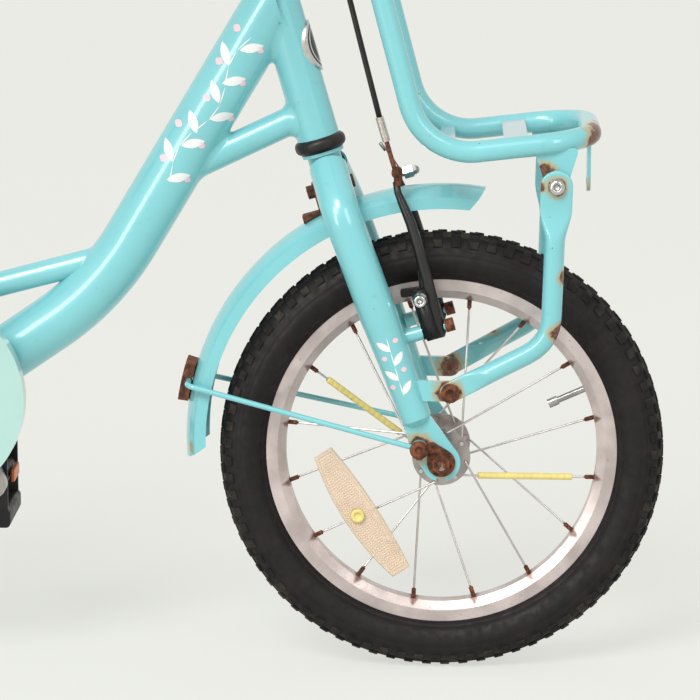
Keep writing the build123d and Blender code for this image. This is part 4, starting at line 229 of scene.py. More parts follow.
@dataclass(frozen=True)
class Enamel:
    """Gloss enamel over steel, with rust where the paint has lifted."""

    name: str
    colour: Colour
    spots: tuple[tuple[float, float, float, float], ...] = ()
    speckle: float = 0.0
    rough: float = 0.34

    def make(self) -> bpy.types.Material:
        """Builds the material."""
        shader = Shader(self.name)
        base = linear(self.colour)
        colour = shader.mix(shader.step(shader.noise(11), 0.3, 0.7), base, shade(base, 0.93))
        grime = shader.step(shader.noise(95, 8), 0.62, 0.8, 0, 0.22)
        colour = shader.mix(grime, colour, linear((112, 150, 140)))
        rust = shader.step(shader.noise(260, 8), 0.74 - self.speckle, 0.80 - self.speckle)
        ragged = shader.noise(150, 6)
        stain = None
        for x, y, z, radius in self.spots:
            reach = shader.maths("DIVIDE", shader.distance((x, y, z)), radius)
            edge = shader.maths("SUBTRACT", shader.maths("ADD", reach, ragged), 0.5)
            patch = shader.step(edge, 0.95, 0.72)
            halo = shader.step(edge, 1.45, 0.8, 0, 0.85)
            rust = shader.maths("MAXIMUM", rust, patch)
            stain = halo if stain is None else shader.maths("MAXIMUM", stain, halo)
        if stain is not None:
            colour = shader.mix(stain, colour, linear(RUST_STAIN))
        colour = shader.mix(rust, colour, rust_colour(shader))
        rough = shader.step(rust, 0, 1, self.rough, 0.85)
        shader.bump(shader.noise(55, 2), 0.04, 0.002)
        shader.bump(shader.maths("MULTIPLY", rust, shader.noise(900, 3)), 0.5, 0.0006)
        return shader.finish(Base_Color=colour, Roughness=rough, Coat_Weight=0.8, Coat_Roughness=0.03)


@dataclass(frozen=True)
class Metal:
    """Bare or plated metal with fine lines and a share of rust."""

    name: str
    colour: Colour
    rough: float = 0.3
    rust: float = 0.0
    lines: float = 900.0

    def make(self) -> bpy.types.Material:
        """Builds the material."""
        shader = Shader(self.name)
        base = linear(self.colour)
        colour = shader.mix(shader.step(shader.noise(70, 6), 0.35, 0.72), base, shade(base, 0.72))
        rusted = shader.step(shader.noise(160, 8), 0.86 - self.rust, 0.94 - self.rust)
        colour = shader.mix(rusted, colour, rust_colour(shader))
        even = shader.step(shader.noise(240, 4), 0.3, 0.7, self.rough - 0.06, self.rough + 0.1)
        rough = shader.maths("ADD", even, shader.maths("MULTIPLY", rusted, 0.45))
        shader.bump(shader.noise(self.lines, 2), 0.12, 0.0004)
        metal = shader.step(rusted, 0, 1, 1, 0.15)
        return shader.finish(Base_Color=colour, Roughness=rough, Metallic=metal)


@dataclass(frozen=True)
class Rust:
    """Steel that has rusted through its plating."""

    name: str
    dark: Colour = RUST_DARK
    light: Colour = RUST_LIGHT

    def make(self) -> bpy.types.Material:
        """Builds the material."""
        shader = Shader(self.name)
        blotch = shader.step(shader.noise(190, 9), 0.34, 0.7)
        colour = shader.mix(blotch, linear(self.dark), linear(self.light))
        pits = shader.step(shader.noise(700, 5), 0.55, 0.8, 0, 0.6)
        colour = shader.mix(pits, colour, linear((40, 24, 18)))
        shader.bump(shader.noise(800, 6), 0.7, 0.0008)
        return shader.finish(Base_Color=colour, Roughness=0.78, Metallic=0.2)


@dataclass(frozen=True)
class Moulding:
    """Moulded rubber or plastic with a fine skin, dust and scuffs."""

    name: str
    colour: Colour
    dust: Colour = (120, 112, 102)
    dusty: float = 0.25
    rough: float = 0.5
    grain: float = 1400.0
    gloss: float = 0.35

    def make(self) -> bpy.types.Material:
        """Builds the material."""
        shader = Shader(self.name)
        cloud = shader.step(shader.noise(45, 7), 0.42, 0.8, 0, self.dusty)
        fleck = shader.step(shader.noise(420, 5), 0.62, 0.8, 0, self.dusty)
        colour = shader.mix(shader.maths("MAXIMUM", cloud, fleck), linear(self.colour), linear(self.dust))
        rough = shader.step(shader.noise(130, 5), 0.3, 0.7, self.rough - 0.1, self.rough + 0.14)
        shader.bump(shader.noise(self.grain, 3), 0.18, 0.0004)
        return shader.finish(Base_Color=colour, Roughness=rough, Specular_IOR_Level=self.gloss)


@dataclass(frozen=True)
class Lens:
    """Clear moulded lens backed by a grid of small prisms; each prism cell's middle is painted paler, a
    painted glint.
    """

    name: str
    colour: Colour
    prism: float = 420.0
    clear: float = 0.25

    def make(self) -> bpy.types.Material:
        """Builds the material."""
        shader = Shader(self.name)
        cell = shader.cells(self.prism, 0.0)
        base = linear(self.colour)
        # Painted glint: the middle of each prism cell is painted paler than its edge, as if each prism caught
        # the light.
        colour = shader.mix(shader.step(cell, 0.1, 0.6), shade(base, 1.12, 0.02), base)
        yellowed = shader.step(shader.noise(60, 5), 0.5, 0.8, 0, 0.2)
        colour = shader.mix(yellowed, colour, linear((206, 172, 132)))
        shader.bump(cell, 0.12, 0.001)
        shader.finish(Transmission_Weight=self.clear, Coat_Weight=0.1)
        return shader.finish(Base_Color=colour, Roughness=0.4)


@dataclass(frozen=True)
class Cover:
    """Grained saddle cover with creases and a soft sheen."""

    name: str
    colour: Colour

    def make(self) -> bpy.types.Material:
        """Builds the material."""
        shader = Shader(self.name)
        base = linear(self.colour)
        colour = shader.mix(shader.step(shader.noise(22, 6), 0.45, 0.78), base, shade(base, 1.5))
        grain = shader.cells(650)
        colour = shader.mix(shader.step(grain, 0.45, 0.1, 0, 0.35), colour, shade(base, 0.5))
        shader.bump(grain, 0.4, 0.0005)
        shader.bump(shader.noise(60, 5), 0.15, 0.002)
        return shader.finish(Base_Color=colour, Roughness=0.52, Sheen_Weight=0.1)


@dataclass(frozen=True)
class TwoTone:
    """One metal below a plane and another above it, as on a sleeve pressed over a pipe."""

    name: str
    low: Colour
    high: Colour
    origin: Point
    direction: Point

    def make(self) -> bpy.types.Material:
        """Builds the material."""
        shader = Shader(self.name)
        above = shader.step(shader.along(self.direction, self.origin), -0.0002, 0.0002)
        mottled = shader.step(shader.noise(300, 7), 0.35, 0.7)
        low = shader.mix(mottled, linear(self.low), linear(RUST_DARK))
        high = shader.mix(mottled, linear(self.high), shade(linear(self.high), 0.8))
        shader.bump(shader.noise(900, 3), 0.2, 0.0004)
        rough = shader.step(above, 0, 1, 0.7, 0.36)
        metal = shader.step(above, 0, 1, 0.2, 0.9)
        return shader.finish(Base_Color=shader.mix(above, low, high), Roughness=rough, Metallic=metal)


@dataclass(frozen=True)
class RimAlloy:
    """Satin rim alloy: lines round the wheel and rust stains where the spokes enter."""

    name: str
    centre: Point
    phase: float = math.radians(12.5)
    count: int = 16
    bed: float = 0.1405

    def make(self) -> bpy.types.Material:
        """Builds the material."""
        shader = Shader(self.name)
        maths = shader.maths
        out = shader.distance(self.centre)
        rings = shader.nodes.new("ShaderNodeTexNoise")
        rings.noise_dimensions = "1D"
        rings.inputs["Scale"].default_value = 1400
        shader.links.new(out, rings.inputs["W"])
        turned = maths("SUBTRACT", shader.turn(self.centre), self.phase)
        share = maths("MULTIPLY", turned, self.count / math.tau)
        beside = maths("ABSOLUTE", maths("SUBTRACT", maths("FRACT", maths("ADD", share, 0.5)), 0.5))
        above = maths("MULTIPLY", maths("ABSOLUTE", maths("SUBTRACT", out, self.bed)), 12)
        ragged = maths("MULTIPLY", shader.noise(120, 5), 0.12)
        stain = shader.step(maths("ADD", maths("ADD", beside, above), ragged), 0.16, 0.09, 0, 0.8)
        cloud = shader.step(shader.noise(30, 6), 0.35, 0.7)
        colour = shader.mix(cloud, linear((212, 199, 196)), linear((184, 171, 168)))
        pits = shader.step(shader.noise(300, 7), 0.66, 0.78)
        colour = shader.mix(pits, colour, linear((158, 140, 132)))
        colour = shader.mix(stain, colour, rust_colour(shader))
        shader.bump(rings.outputs["Fac"], 0.1, 0.0003)
        rough = shader.step(shader.noise(90, 5), 0.3, 0.7, 0.34, 0.5)
        return shader.finish(Base_Color=colour, Roughness=rough, Metallic=0.7)


@dataclass(frozen=True)
class SpokeSteel:
    """Plated spokes whose nipples have rusted."""

    name: str
    centre: Point
    reach: float = 0.1302

    def make(self) -> bpy.types.Material:
        """Builds the material."""
        shader = Shader(self.name)
        ends = shader.step(shader.distance(self.centre), self.reach, self.reach + 0.001)
        fleck = shader.step(shader.noise(210, 7), 0.66, 0.78, 0, 0.45)
        colour = shader.mix(shader.noise(60, 4), linear((228, 224, 221)), linear((172, 165, 160)))
        colour = shader.mix(shader.maths("MAXIMUM", ends, fleck), colour, rust_colour(shader))
        shader.bump(shader.noise(900, 3), 0.2, 0.0003)
        rough = shader.step(ends, 0, 1, 0.32, 0.8)
        metal = shader.step(ends, 0, 1, 0.95, 0.2)
        return shader.finish(Base_Color=colour, Roughness=rough, Metallic=metal)


@dataclass(frozen=True)
class BadgeFace:
    """Dark enamelled field inside two bright rings, for the oval badge."""

    name: str
    centre: Point
    up: Point
    half_height: float = 0.023
    half_width: float = 0.0165

    def make(self) -> bpy.types.Material:
        """Builds the material."""
        shader = Shader(self.name)
        tall = shader.maths("DIVIDE", shader.along(self.up, self.centre), self.half_height)
        wide = shader.maths("DIVIDE", shader.along((0, 1, 0), self.centre), self.half_width)
        squares = [shader.maths("MULTIPLY", value, value) for value in (tall, wide)]
        reach = shader.maths("SQRT", shader.maths("ADD", *squares))
        band = shader.maths("MULTIPLY", shader.step(reach, 0.66, 0.68), shader.step(reach, 0.76, 0.74))
        ring = shader.maths("MAXIMUM", shader.step(reach, 0.84, 0.86), band)
        dull = shader.step(shader.noise(500, 5), 0.5, 0.75)
        dark = shader.mix(dull, linear((22, 22, 24)), linear((58, 56, 56)))
        bright = shader.mix(shader.noise(240, 5), linear((226, 224, 222)), linear((176, 172, 168)))
        shader.bump(ring, 0.6, 0.0006)
        return shader.finish(Base_Color=shader.mix(ring, dark, bright), Metallic=ring, Roughness=0.26)


MINT: Colour = (126, 202, 207)
MINT_RUST: dict[str, tuple[tuple[float, float, float, float], ...]] = {
    "carrier_loop": (
        (0.533, -0.044, 0.494, 0.015),
        (0.526, -0.057, 0.488, 0.012),
        (0.536, -0.02, 0.496, 0.010),
        (0.4868, -0.079, 0.462, 0.010),
    ),
    "carrier_legs": (
        (0.4968, -0.083, 0.4517, 0.0085),
        (0.4968, 0.083, 0.4517, 0.0085),
        (0.4815, -0.083, 0.452, 0.006),
        (0.4058, -0.062, 0.265, 0.0115),
        (0.4058, 0.062, 0.265, 0.0115),
        (0.446, 0.068, 0.293, 0.008),
        (0.503, -0.078, 0.372, 0.007),
        (0.500, -0.078, 0.322, 0.009),
    ),
    "fork": (
        (0.3787, -0.0585, 0.2132, 0.013),
        (0.3787, 0.0585, 0.2132, 0.013),
        (0.4058, -0.059, 0.265, 0.013),
        (0.4058, 0.059, 0.265, 0.013),
    ),
    "front_fender": ((0.427, -0.02, 0.42, 0.006), (0.168, -0.024, 0.205, 0.007)),
}


def place_new(name: str, data: bpy.types.ID | None) -> bpy.types.Object:
    """Gives a new object at the origin of the scene."""
    made = bpy.data.objects.new(name, data)
    bpy.context.scene.collection.objects.link(made)
    return made


def new_mesh(
    name: str, work: bmesh.types.BMesh, material: bpy.types.Material, smooth: bool = True
) -> bpy.types.Object:
    """Turns working geometry into an object.

    Args:
        name: The piece's name.
        work: The geometry, which is freed.
        material: The finish.
        smooth: Whether faces shade smoothly.

    Returns:
        The linked object at the origin.
    """
    bmesh.ops.recalc_face_normals(work, faces=work.faces)
    data = bpy.data.meshes.new(name)
    work.to_mesh(data)
    work.free()
    data.polygons.foreach_set("use_smooth", [smooth] * len(data.polygons))
    data.materials.append(material)
    return place_new(name, data)


def guide_line(name: str, kind: str, places: Sequence[Sequence[float]]) -> bpy.types.Object:
    """Gives a curve of one spline kind through or near points."""
    curve = bpy.data.curves.new(name, "CURVE")
    curve.dimensions = "3D"
    spline = curve.splines.new(kind)
    spline.points.add(len(places) - 1)
    for point, place in zip(spline.points, places):
        point.co = (*place, 1.0)
    return place_new(name, curve)


def skin(work: bmesh.types.BMesh, rings: Sequence[Ring], caps: bool = True) -> list[bmesh.types.BMFace]:
    """Joins rings of points with four-sided faces.

    Args:
        work: The geometry that holds the points.
        rings: Rings with the same count of points.
        caps: Whether the first and last ring are closed.

    Returns:
        The faces between the rings.
    """
    faces = []
    for low, high in zip(rings, rings[1:]):
        for index in range(len(low)):
            after = (index + 1) % len(low)
            faces.append(work.faces.new([low[index], low[after], high[after], high[index]]))
    if caps:
        work.faces.new(rings[0])
        work.faces.new(rings[-1])
    return faces


def round_ring(count: int) -> list[tuple[float, float]]:
    """Gives the cosine and sine of evenly spread angles."""
    angles = [math.tau * index / count for index in range(count)]
    return [(math.cos(angle), math.sin(angle)) for angle in angles]


def lathe(
    work: bmesh.types.BMesh,
    start: Vector,
    axis: Vector,
    profile: Sequence[tuple[float, float]],
    sides: int = 32,
    closed: bool = False,
) -> None:
    """Adds a turned shape.

    Args:
        work: The geometry it is added to.
        start: The point on the axis where the profile's distance is 0.
        axis: The direction of the axis.
        profile: Pairs of distance along the axis and radius, in metres.
        sides: How many sides it has.
        closed: Whether the last ring joins the first.
    """
    turn = axis.to_track_quat("Z", "Y").to_matrix()
    rings = []
    for distance, radius in profile:
        spread = round_ring(sides) if radius else [(0.0, 0.0)]
        places = [Vector((radius * cosine, radius * sine, distance)) for cosine, sine in spread]
        rings.append([work.verts.new(start + turn @ place) for place in places])
    for low, high in zip(rings, rings[1:] + (rings[:1] if closed else [])):
        for index in range(sides):
            after = (index + 1) % sides
            corners = [low[index % len(low)], low[after % len(low)]]
            corners += [high[after % len(high)], high[index % len(high)]]
            work.faces.new(list(dict.fromkeys(corners)))


def tube(
    work: bmesh.types.BMesh,
    path: Sequence[Vector],
    radius: float | Sequence[float],
    sides: int = 12,
    closed: bool = False,
) -> None:
    """Adds a round tube along points.

    Args:
        work: The geometry it is added to.
        path: The points of its middle line.
        radius: One radius, or one for each point.
        sides: How many sides it has.
        closed: Whether the path is a loop.
    """
    count = len(path)
    radii = [radius] * count if isinstance(radius, float) else list(radius)
    normal = None
    rings = []
    for index, point in enumerate(path):
        before = path[index - 1] if closed or index else path[0]
        after = path[(index + 1) % count] if closed or index < count - 1 else path[-1]
        tangent = (after - before).normalized()
        if normal is None:
            normal = tangent.orthogonal().normalized()
        normal = (normal - tangent * normal.dot(tangent)).normalized()
        side = tangent.cross(normal)
        offsets = [normal * cosine + side * sine for cosine, sine in round_ring(sides)]
        rings.append([work.verts.new(point + offset * radii[index]) for offset in offsets])
    skin(work, rings, not closed)
    if closed:
        first, last = rings[0], rings[-1]
        shift = min(range(sides), key=lambda offset: (first[offset].co - last[0].co).length)
        skin(work, [last, first[shift:] + first[:shift]], False)


def bolt(
    work: bmesh.types.BMesh, seat: Vector, axis: Vector, radius: float, height: float, socket: float = 0.45
) -> None:
    """Adds a button head with a round socket.

    Args:
        work: The geometry it is added to.
        seat: The middle of the face it sits on.
        axis: The direction it faces.
        radius: The head's radius.
        height: The head's height.
        socket: The socket's radius as a share of the head's.
    """
    inner = radius * socket
    head = [(0.0, 0.0), (0.0, radius), (height * 0.45, radius), (height * 0.8, radius * 0.86)]
    head += [(height, radius * 0.62), (height, inner), (height * 0.4, inner * 0.94), (height * 0.35, 0.0)]
    lathe(work, seat, axis, head, 24)


class Repeat(Enum):
    """How a repeated shape is laid out."""

    RING = "round a wheel"
    LINE = "along a line"
    PATH = "along a guide"


class Array:
    """A shape repeated by Geometry Nodes, then made a plain mesh."""

    def __init__(self, layout: Repeat) -> None:
        """Builds the tree for one layout."""
        self.layout = layout
        self.tree = bpy.data.node_groups.new(f"repeat {layout.value}", "GeometryNodeTree")
        face = self.tree.interface
        self.ids = {}
        for name, kind in (("Count", "NodeSocketInt"), ("Radius", "NodeSocketFloat"),
                           ("Phase", "NodeSocketFloat"), ("Centre", "NodeSocketVector"),
                           ("Step", "NodeSocketVector"), ("Piece", "NodeSocketObject"),
                           ("Guide", "NodeSocketObject"), ("Finish", "NodeSocketMaterial")):
            self.ids[name] = face.new_socket(name, in_out="INPUT", socket_type=kind).identifier
        face.new_socket("Geometry", in_out="OUTPUT", socket_type="NodeSocketGeometry")
        self.build()

    def node(self, kind: str, **values: object) -> bpy.types.Node:
        """Adds one node and sets its properties."""
        made = self.tree.nodes.new(kind)
        for name, value in values.items():
            setattr(made, name, value)
        return made

    def build(self) -> None:
        """Lays the points, instances the shape and realizes it."""
        link = self.tree.links.new
        given = self.node("NodeGroupInput").outputs
        points = self.node("GeometryNodePoints")
        link(given["Count"], points.inputs["Count"])
        index = self.node("GeometryNodeInputIndex").outputs[0]
        instance = self.node("GeometryNodeInstanceOnPoints")
        if self.layout is Repeat.RING:
            share = self.node("ShaderNodeMath", operation="DIVIDE")
            link(index, share.inputs[0])
            link(given["Count"], share.inputs[1])
            angle = self.node("ShaderNodeMath", operation="MULTIPLY_ADD")
            link(share.outputs[0], angle.inputs[0])
            angle.inputs[1].default_value = math.tau
            link(given["Phase"], angle.inputs[2])
            spot = self.node("ShaderNodeCombineXYZ")
            for axis, operation in ((0, "COSINE"), (2, "SINE")):
                wave = self.node("ShaderNodeMath", operation=operation)
                reach = self.node("ShaderNodeMath", operation="MULTIPLY")
                link(angle.outputs[0], wave.inputs[0])
                link(wave.outputs[0], reach.inputs[0])
                link(given["Radius"], reach.inputs[1])
                link(reach.outputs[0], spot.inputs[axis])
            back = self.node("ShaderNodeMath", operation="MULTIPLY")
            link(angle.outputs[0], back.inputs[0])
            back.inputs[1].default_value = -1.0
            turn = self.node("ShaderNodeCombineXYZ")
            link(back.outputs[0], turn.inputs[1])
            link(turn.outputs[0], instance.inputs["Rotation"])
            place = spot.outputs[0]
        else:
            scale = self.node("ShaderNodeVectorMath", operation="SCALE")
            link(given["Step"], scale.inputs[0])
            link(index, scale.inputs["Scale"])
            place = scale.outputs[0]
        if self.layout is Repeat.PATH:
            route = self.node("GeometryNodeObjectInfo")
            link(given["Guide"], route.inputs["Object"])
            spaced = self.node("GeometryNodeResampleCurve")
            link(route.outputs["Geometry"], spaced.inputs["Curve"])
            link(given["Count"], spaced.inputs["Count"])
            facing = self.node("FunctionNodeAlignRotationToVector", axis="X")
            link(self.node("GeometryNodeInputTangent").outputs[0], facing.inputs["Vector"])
            link(facing.outputs[0], instance.inputs["Rotation"])
            laid = spaced.outputs[0]
        else:
            moved = self.node("ShaderNodeVectorMath", operation="ADD")
            link(place, moved.inputs[0])
            link(given["Centre"], moved.inputs[1])
            link(moved.outputs[0], points.inputs["Position"])
            laid = points.outputs[0]
        shape = self.node("GeometryNodeObjectInfo")
        link(given["Piece"], shape.inputs["Object"])
        link(laid, instance.inputs["Points"])
        link(shape.outputs["Geometry"], instance.inputs["Instance"])
        real = self.node("GeometryNodeRealizeInstances")
        link(instance.outputs[0], real.inputs[0])
        dressed = self.node("GeometryNodeSetMaterial")
        link(real.outputs[0], dressed.inputs["Geometry"])
        link(given["Finish"], dressed.inputs["Material"])
        link(dressed.outputs[0], self.node("NodeGroupOutput").inputs[0])

    def lay(
        self, name: str, piece: bpy.types.Object, finish: bpy.types.Material, **inputs: object
    ) -> bpy.types.Object:
        """Repeats a shape.

        Args:
            name: The name of the finished piece.
            piece: The shape, which is deleted.
            finish: The finish of the copies.
            **inputs: The tree's named inputs.

        Returns:
            The copies as one plain mesh object.
        """
        host = place_new(name + "_host", bpy.data.meshes.new(name))
        modifier = host.modifiers.new("repeat", "NODES")
        modifier.node_group = self.tree
        for key, value in {**inputs, "Piece": piece, "Finish": finish}.items():
            modifier[self.ids[key]] = value
        depsgraph = bpy.context.evaluated_depsgraph_get()
        data = bpy.data.meshes.new_from_object(host.evaluated_get(depsgraph))
        made = place_new(name, data)
        host.modifiers.clear()
        bpy.data.objects.remove(host)
        bpy.data.objects.remove(piece)
        return made


def join(name: str, parts: Sequence[bpy.types.Object]) -> bpy.types.Object:
    """Joins finished meshes into one object, keeping their finishes."""
    work = bmesh.new()
    finishes: list[bpy.types.Material] = []
    for part in parts:
        start = len(work.faces)
        work.from_mesh(part.data)
        work.faces.ensure_lookup_table()
        slots = []
        for material in part.data.materials:
            if material not in finishes:
                finishes.append(material)
            slots.append(finishes.index(material))
        for face in work.faces[start:]:
            face.material_index = slots[face.material_index] if slots else 0
    data = bpy.data.meshes.new(name)
    work.to_mesh(data)
    work.free()
    for material in finishes:
        data.materials.append(material)
    made = place_new(name, data)
    for part in parts:
        bpy.data.objects.remove(part)
    return made


class Print:
    """Thin painted shapes laid on a CAD node's right-hand side."""

    def __init__(self, node: str, lift: float = 0.0002) -> None:
        """Reads the node's surface.

        Args:
            node: The CAD node's name.
            lift: How far the paint stands off it.
        """
        data = frame["nodes"][node].data
        faces = [tuple(face.vertices) for face in data.polygons]
        self.surface = BVHTree.FromPolygons([vertex.co for vertex in data.vertices], faces)
        self.lift = lift

    def leaf(
        self, work: bmesh.types.BMesh, middle: Vector, along: Vector, length: float, width: float
    ) -> None:
        """Adds one leaf, or a berry where length and width are the same.

        Args:
            work: The geometry it is added to.
            middle: The leaf's middle; its distance to the side doesn't matter.
            along: The leaf's direction, seen from the side.
            length: The leaf's length.
            width: Its greatest width.
        """
        across = Vector((-along.z, 0, along.x))
        rows = []
        for step in range(13):
            share = step / 12
            half = max(0.00005, width / 2 * math.sin(math.pi * share) ** 0.8)
            row = []
            for side in (-1.0, -0.5, 0.0, 0.5, 1.0):
                start = middle + along * ((share - 0.5) * length) + across * (side * half)
                start.y = -1.0
                place, normal, _, _ = self.surface.ray_cast(start, Vector((0, 1, 0)))
                row.append(work.verts.new(place + normal * self.lift))
            rows.append(row)
        for low, high in zip(rows, rows[1:]):
            for index in range(4):
                work.faces.new([low[index], low[index + 1], high[index + 1], high[index]])


class Workshop:
    """Shared finishes, repeat trees and the list of finished pieces."""

    def __init__(self) -> None:
        """Makes the finishes that several sub-assemblies share."""
        self.ring = Array(Repeat.RING)
        self.line = Array(Repeat.LINE)
        self.path = Array(Repeat.PATH)
        self.mint = Enamel("mint enamel", MINT).make()
        self.rust = Rust("rusted steel").make()
        self.steel = Metal("dull plated steel", (176, 172, 168), 0.3, 0.06).make()
        self.bright = Metal("bright plated steel", (206, 204, 202), 0.16, 0.0).make()
        self.hub_alloy = Metal("grey hub alloy", (182, 172, 168), 0.42, 0.05).make()
        satin = Moulding("satin black arms", (20, 18, 18), (66, 57, 52), 0.3, 0.34, 700, 0.5)
        self.black_metal = satin.make()
        self.black_plastic = Moulding("black moulding", (20, 18, 18), (70, 62, 56), 0.22, 0.46).make()
        self.rubber = Moulding("tyre rubber", (24, 20, 20), (56, 47, 44), 0.24, 0.6, 1400, 0.25).make()
        self.knob = Moulding("dusty tread rubber", (27, 25, 24), (92, 80, 70), 0.42, 0.72, 1400, 0.2).make()
        self.white = Moulding("white leaf print", (236, 238, 236), (214, 224, 222), 0.35, 0.34).make()
        self.rose = Moulding("rose berry print", (238, 200, 208), (246, 224, 226), 0.4, 0.34).make()
        self.straw = Moulding("yellow straws", (232, 214, 132), (190, 168, 100), 0.3, 0.42).make()

    def dress(self, node: str, material: bpy.types.Material) -> None:
        """Gives a CAD node its finish."""
        slots = frame["nodes"][node].data.materials
        slots.clear()
        slots.append(material)
        LOG.info("dressed %s", node)

    def keep(self, piece: bpy.types.Object, body: str, slot: str, *nodes: str) -> bpy.types.Object:
        """Rides a finished piece on its body.

        Args:
            piece: The piece.
            body: The CAD body it moves with.
            slot: The record's material slot; not used.
            *nodes: CAD nodes that it stands for.

        Returns:
            The piece.
        """
        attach(piece, body)
        if nodes:
            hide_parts(*nodes)
        LOG.info("built %s on %s", piece.name, body)
        return piece


@dataclass
class Wheel:
    """A tyre with its tread, the rim, spokes, valve and hub."""

    shop: Workshop
    side: str
    centre: Vector
    knob_count: int = 75
    tread_rows: tuple[tuple[float, float, float, float], ...] = (
        (0.1909, 0.0187, 58.0, 0.0),
        (0.1969, 0.0100, 25.0, 0.5),
    )
    crown: float = 0.1983

    def profile(self) -> list[tuple[float, float]]:
        """Gives the tyre's section as pairs of width and radius, from one bead to the other."""
        half = [(0.0095, 0.1570), (0.0112, 0.1588), (0.0150, 0.1612), (0.0156, 0.1618), (0.0164, 0.1616),
                (0.0200, 0.1652), (0.0228, 0.1706), (0.0235, 0.1752), (0.0234, 0.1790), (0.0229, 0.1797),
                (0.0231, 0.1806), (0.0221, 0.1842), (0.0214, 0.1848), (0.0212, 0.1856), (0.0190, 0.1899),
                (0.0150, 0.1939), (0.0090, 0.1969), (0.0040, 0.1981)]
        return [(-width, radius) for width, radius in half] + [(0.0, self.crown)] + half[::-1]

    def knob(self, tilt: float, wide: float, deep: float) -> bpy.types.Object:
        """Gives one tread block: chamfered, standing on the casing at a tilt from the crown."""
        work = bmesh.new()
        tall = 0.0015
        levels = ((-0.0022, 1.0), (tall * 0.72, 0.92), (tall, 0.74))
        rings = []
        for height, share in levels:
            half, reach = wide * share / 2, deep * share / 2
            notch = half * 0.28
            outline = [(-half, -reach), (half, -reach), (half, -notch), (half - notch, 0), (half, notch),
                       (half, reach), (-half, reach)]
            rings.append([work.verts.new((height, y, z)) for y, z in outline])
        skin(work, rings, False)
        work.faces.new(rings[-1])
        bmesh.ops.rotate(work, verts=work.verts, cent=(0, 0, 0), matrix=Matrix.Rotation(tilt, 3, "Z"))
        return new_mesh("knob", work, self.shop.knob, False)

    def row(self, piece: bpy.types.Object, radius: float, phase: float, middle: Vector) -> bpy.types.Object:
        """Lays one row of tread blocks round the wheel."""
        return self.shop.ring.lay(
            "row", piece, self.shop.knob, Count=self.knob_count, Radius=radius, Phase=phase, Centre=middle
        )

    def tyre(self) -> None:
        """Builds the casing with its moulded rings and the tread blocks."""
        work = bmesh.new()
        outline = self.profile()
        wall = [(width * 0.82, radius - 0.0035) for width, radius in outline[::-1]]
        lathe(work, self.centre, Vector((0, 1, 0)), outline + wall, 160, True)
        casing = new_mesh("casing", work, self.shop.rubber)
        parts = [casing]
        for radius, width, tilt, phase in self.tread_rows:
            for sign in (-1, 1):
                piece = self.knob(math.radians(sign * tilt), 0.0076 if tilt > 40 else 0.0068, 0.0088)
                offset = (phase + (0.25 if sign > 0 else 0)) * math.tau / self.knob_count
                parts.append(self.row(piece, radius, offset, self.centre + Vector((0, sign * width, 0))))
        parts.append(self.row(self.knob(0.0, 0.0062, 0.0108), self.crown - 0.0002, 0.0, self.centre))
        piece = join(f"{self.side}_tyre_tread", parts)
        self.shop.keep(piece, f"{self.side}_wheel", "tyre_rubber", f"{self.side}_tyre")

    def dress(self) -> None:
        """Finishes the rim, spokes, valve and hub."""
        shop, side, centre = self.shop, self.side, tuple(self.centre)
        shop.dress(f"{side}_rim", RimAlloy(f"{side} rim alloy", centre).make())
        shop.dress(f"{side}_spokes", SpokeSteel(f"{side} spoke steel", centre).make())
        shop.dress(f"{side}_hub", shop.hub_alloy)
        shop.dress(f"{side}_valve", shop.steel)

    def build(self) -> None:
        """Builds the whole wheel."""
        self.tyre()
        self.dress()


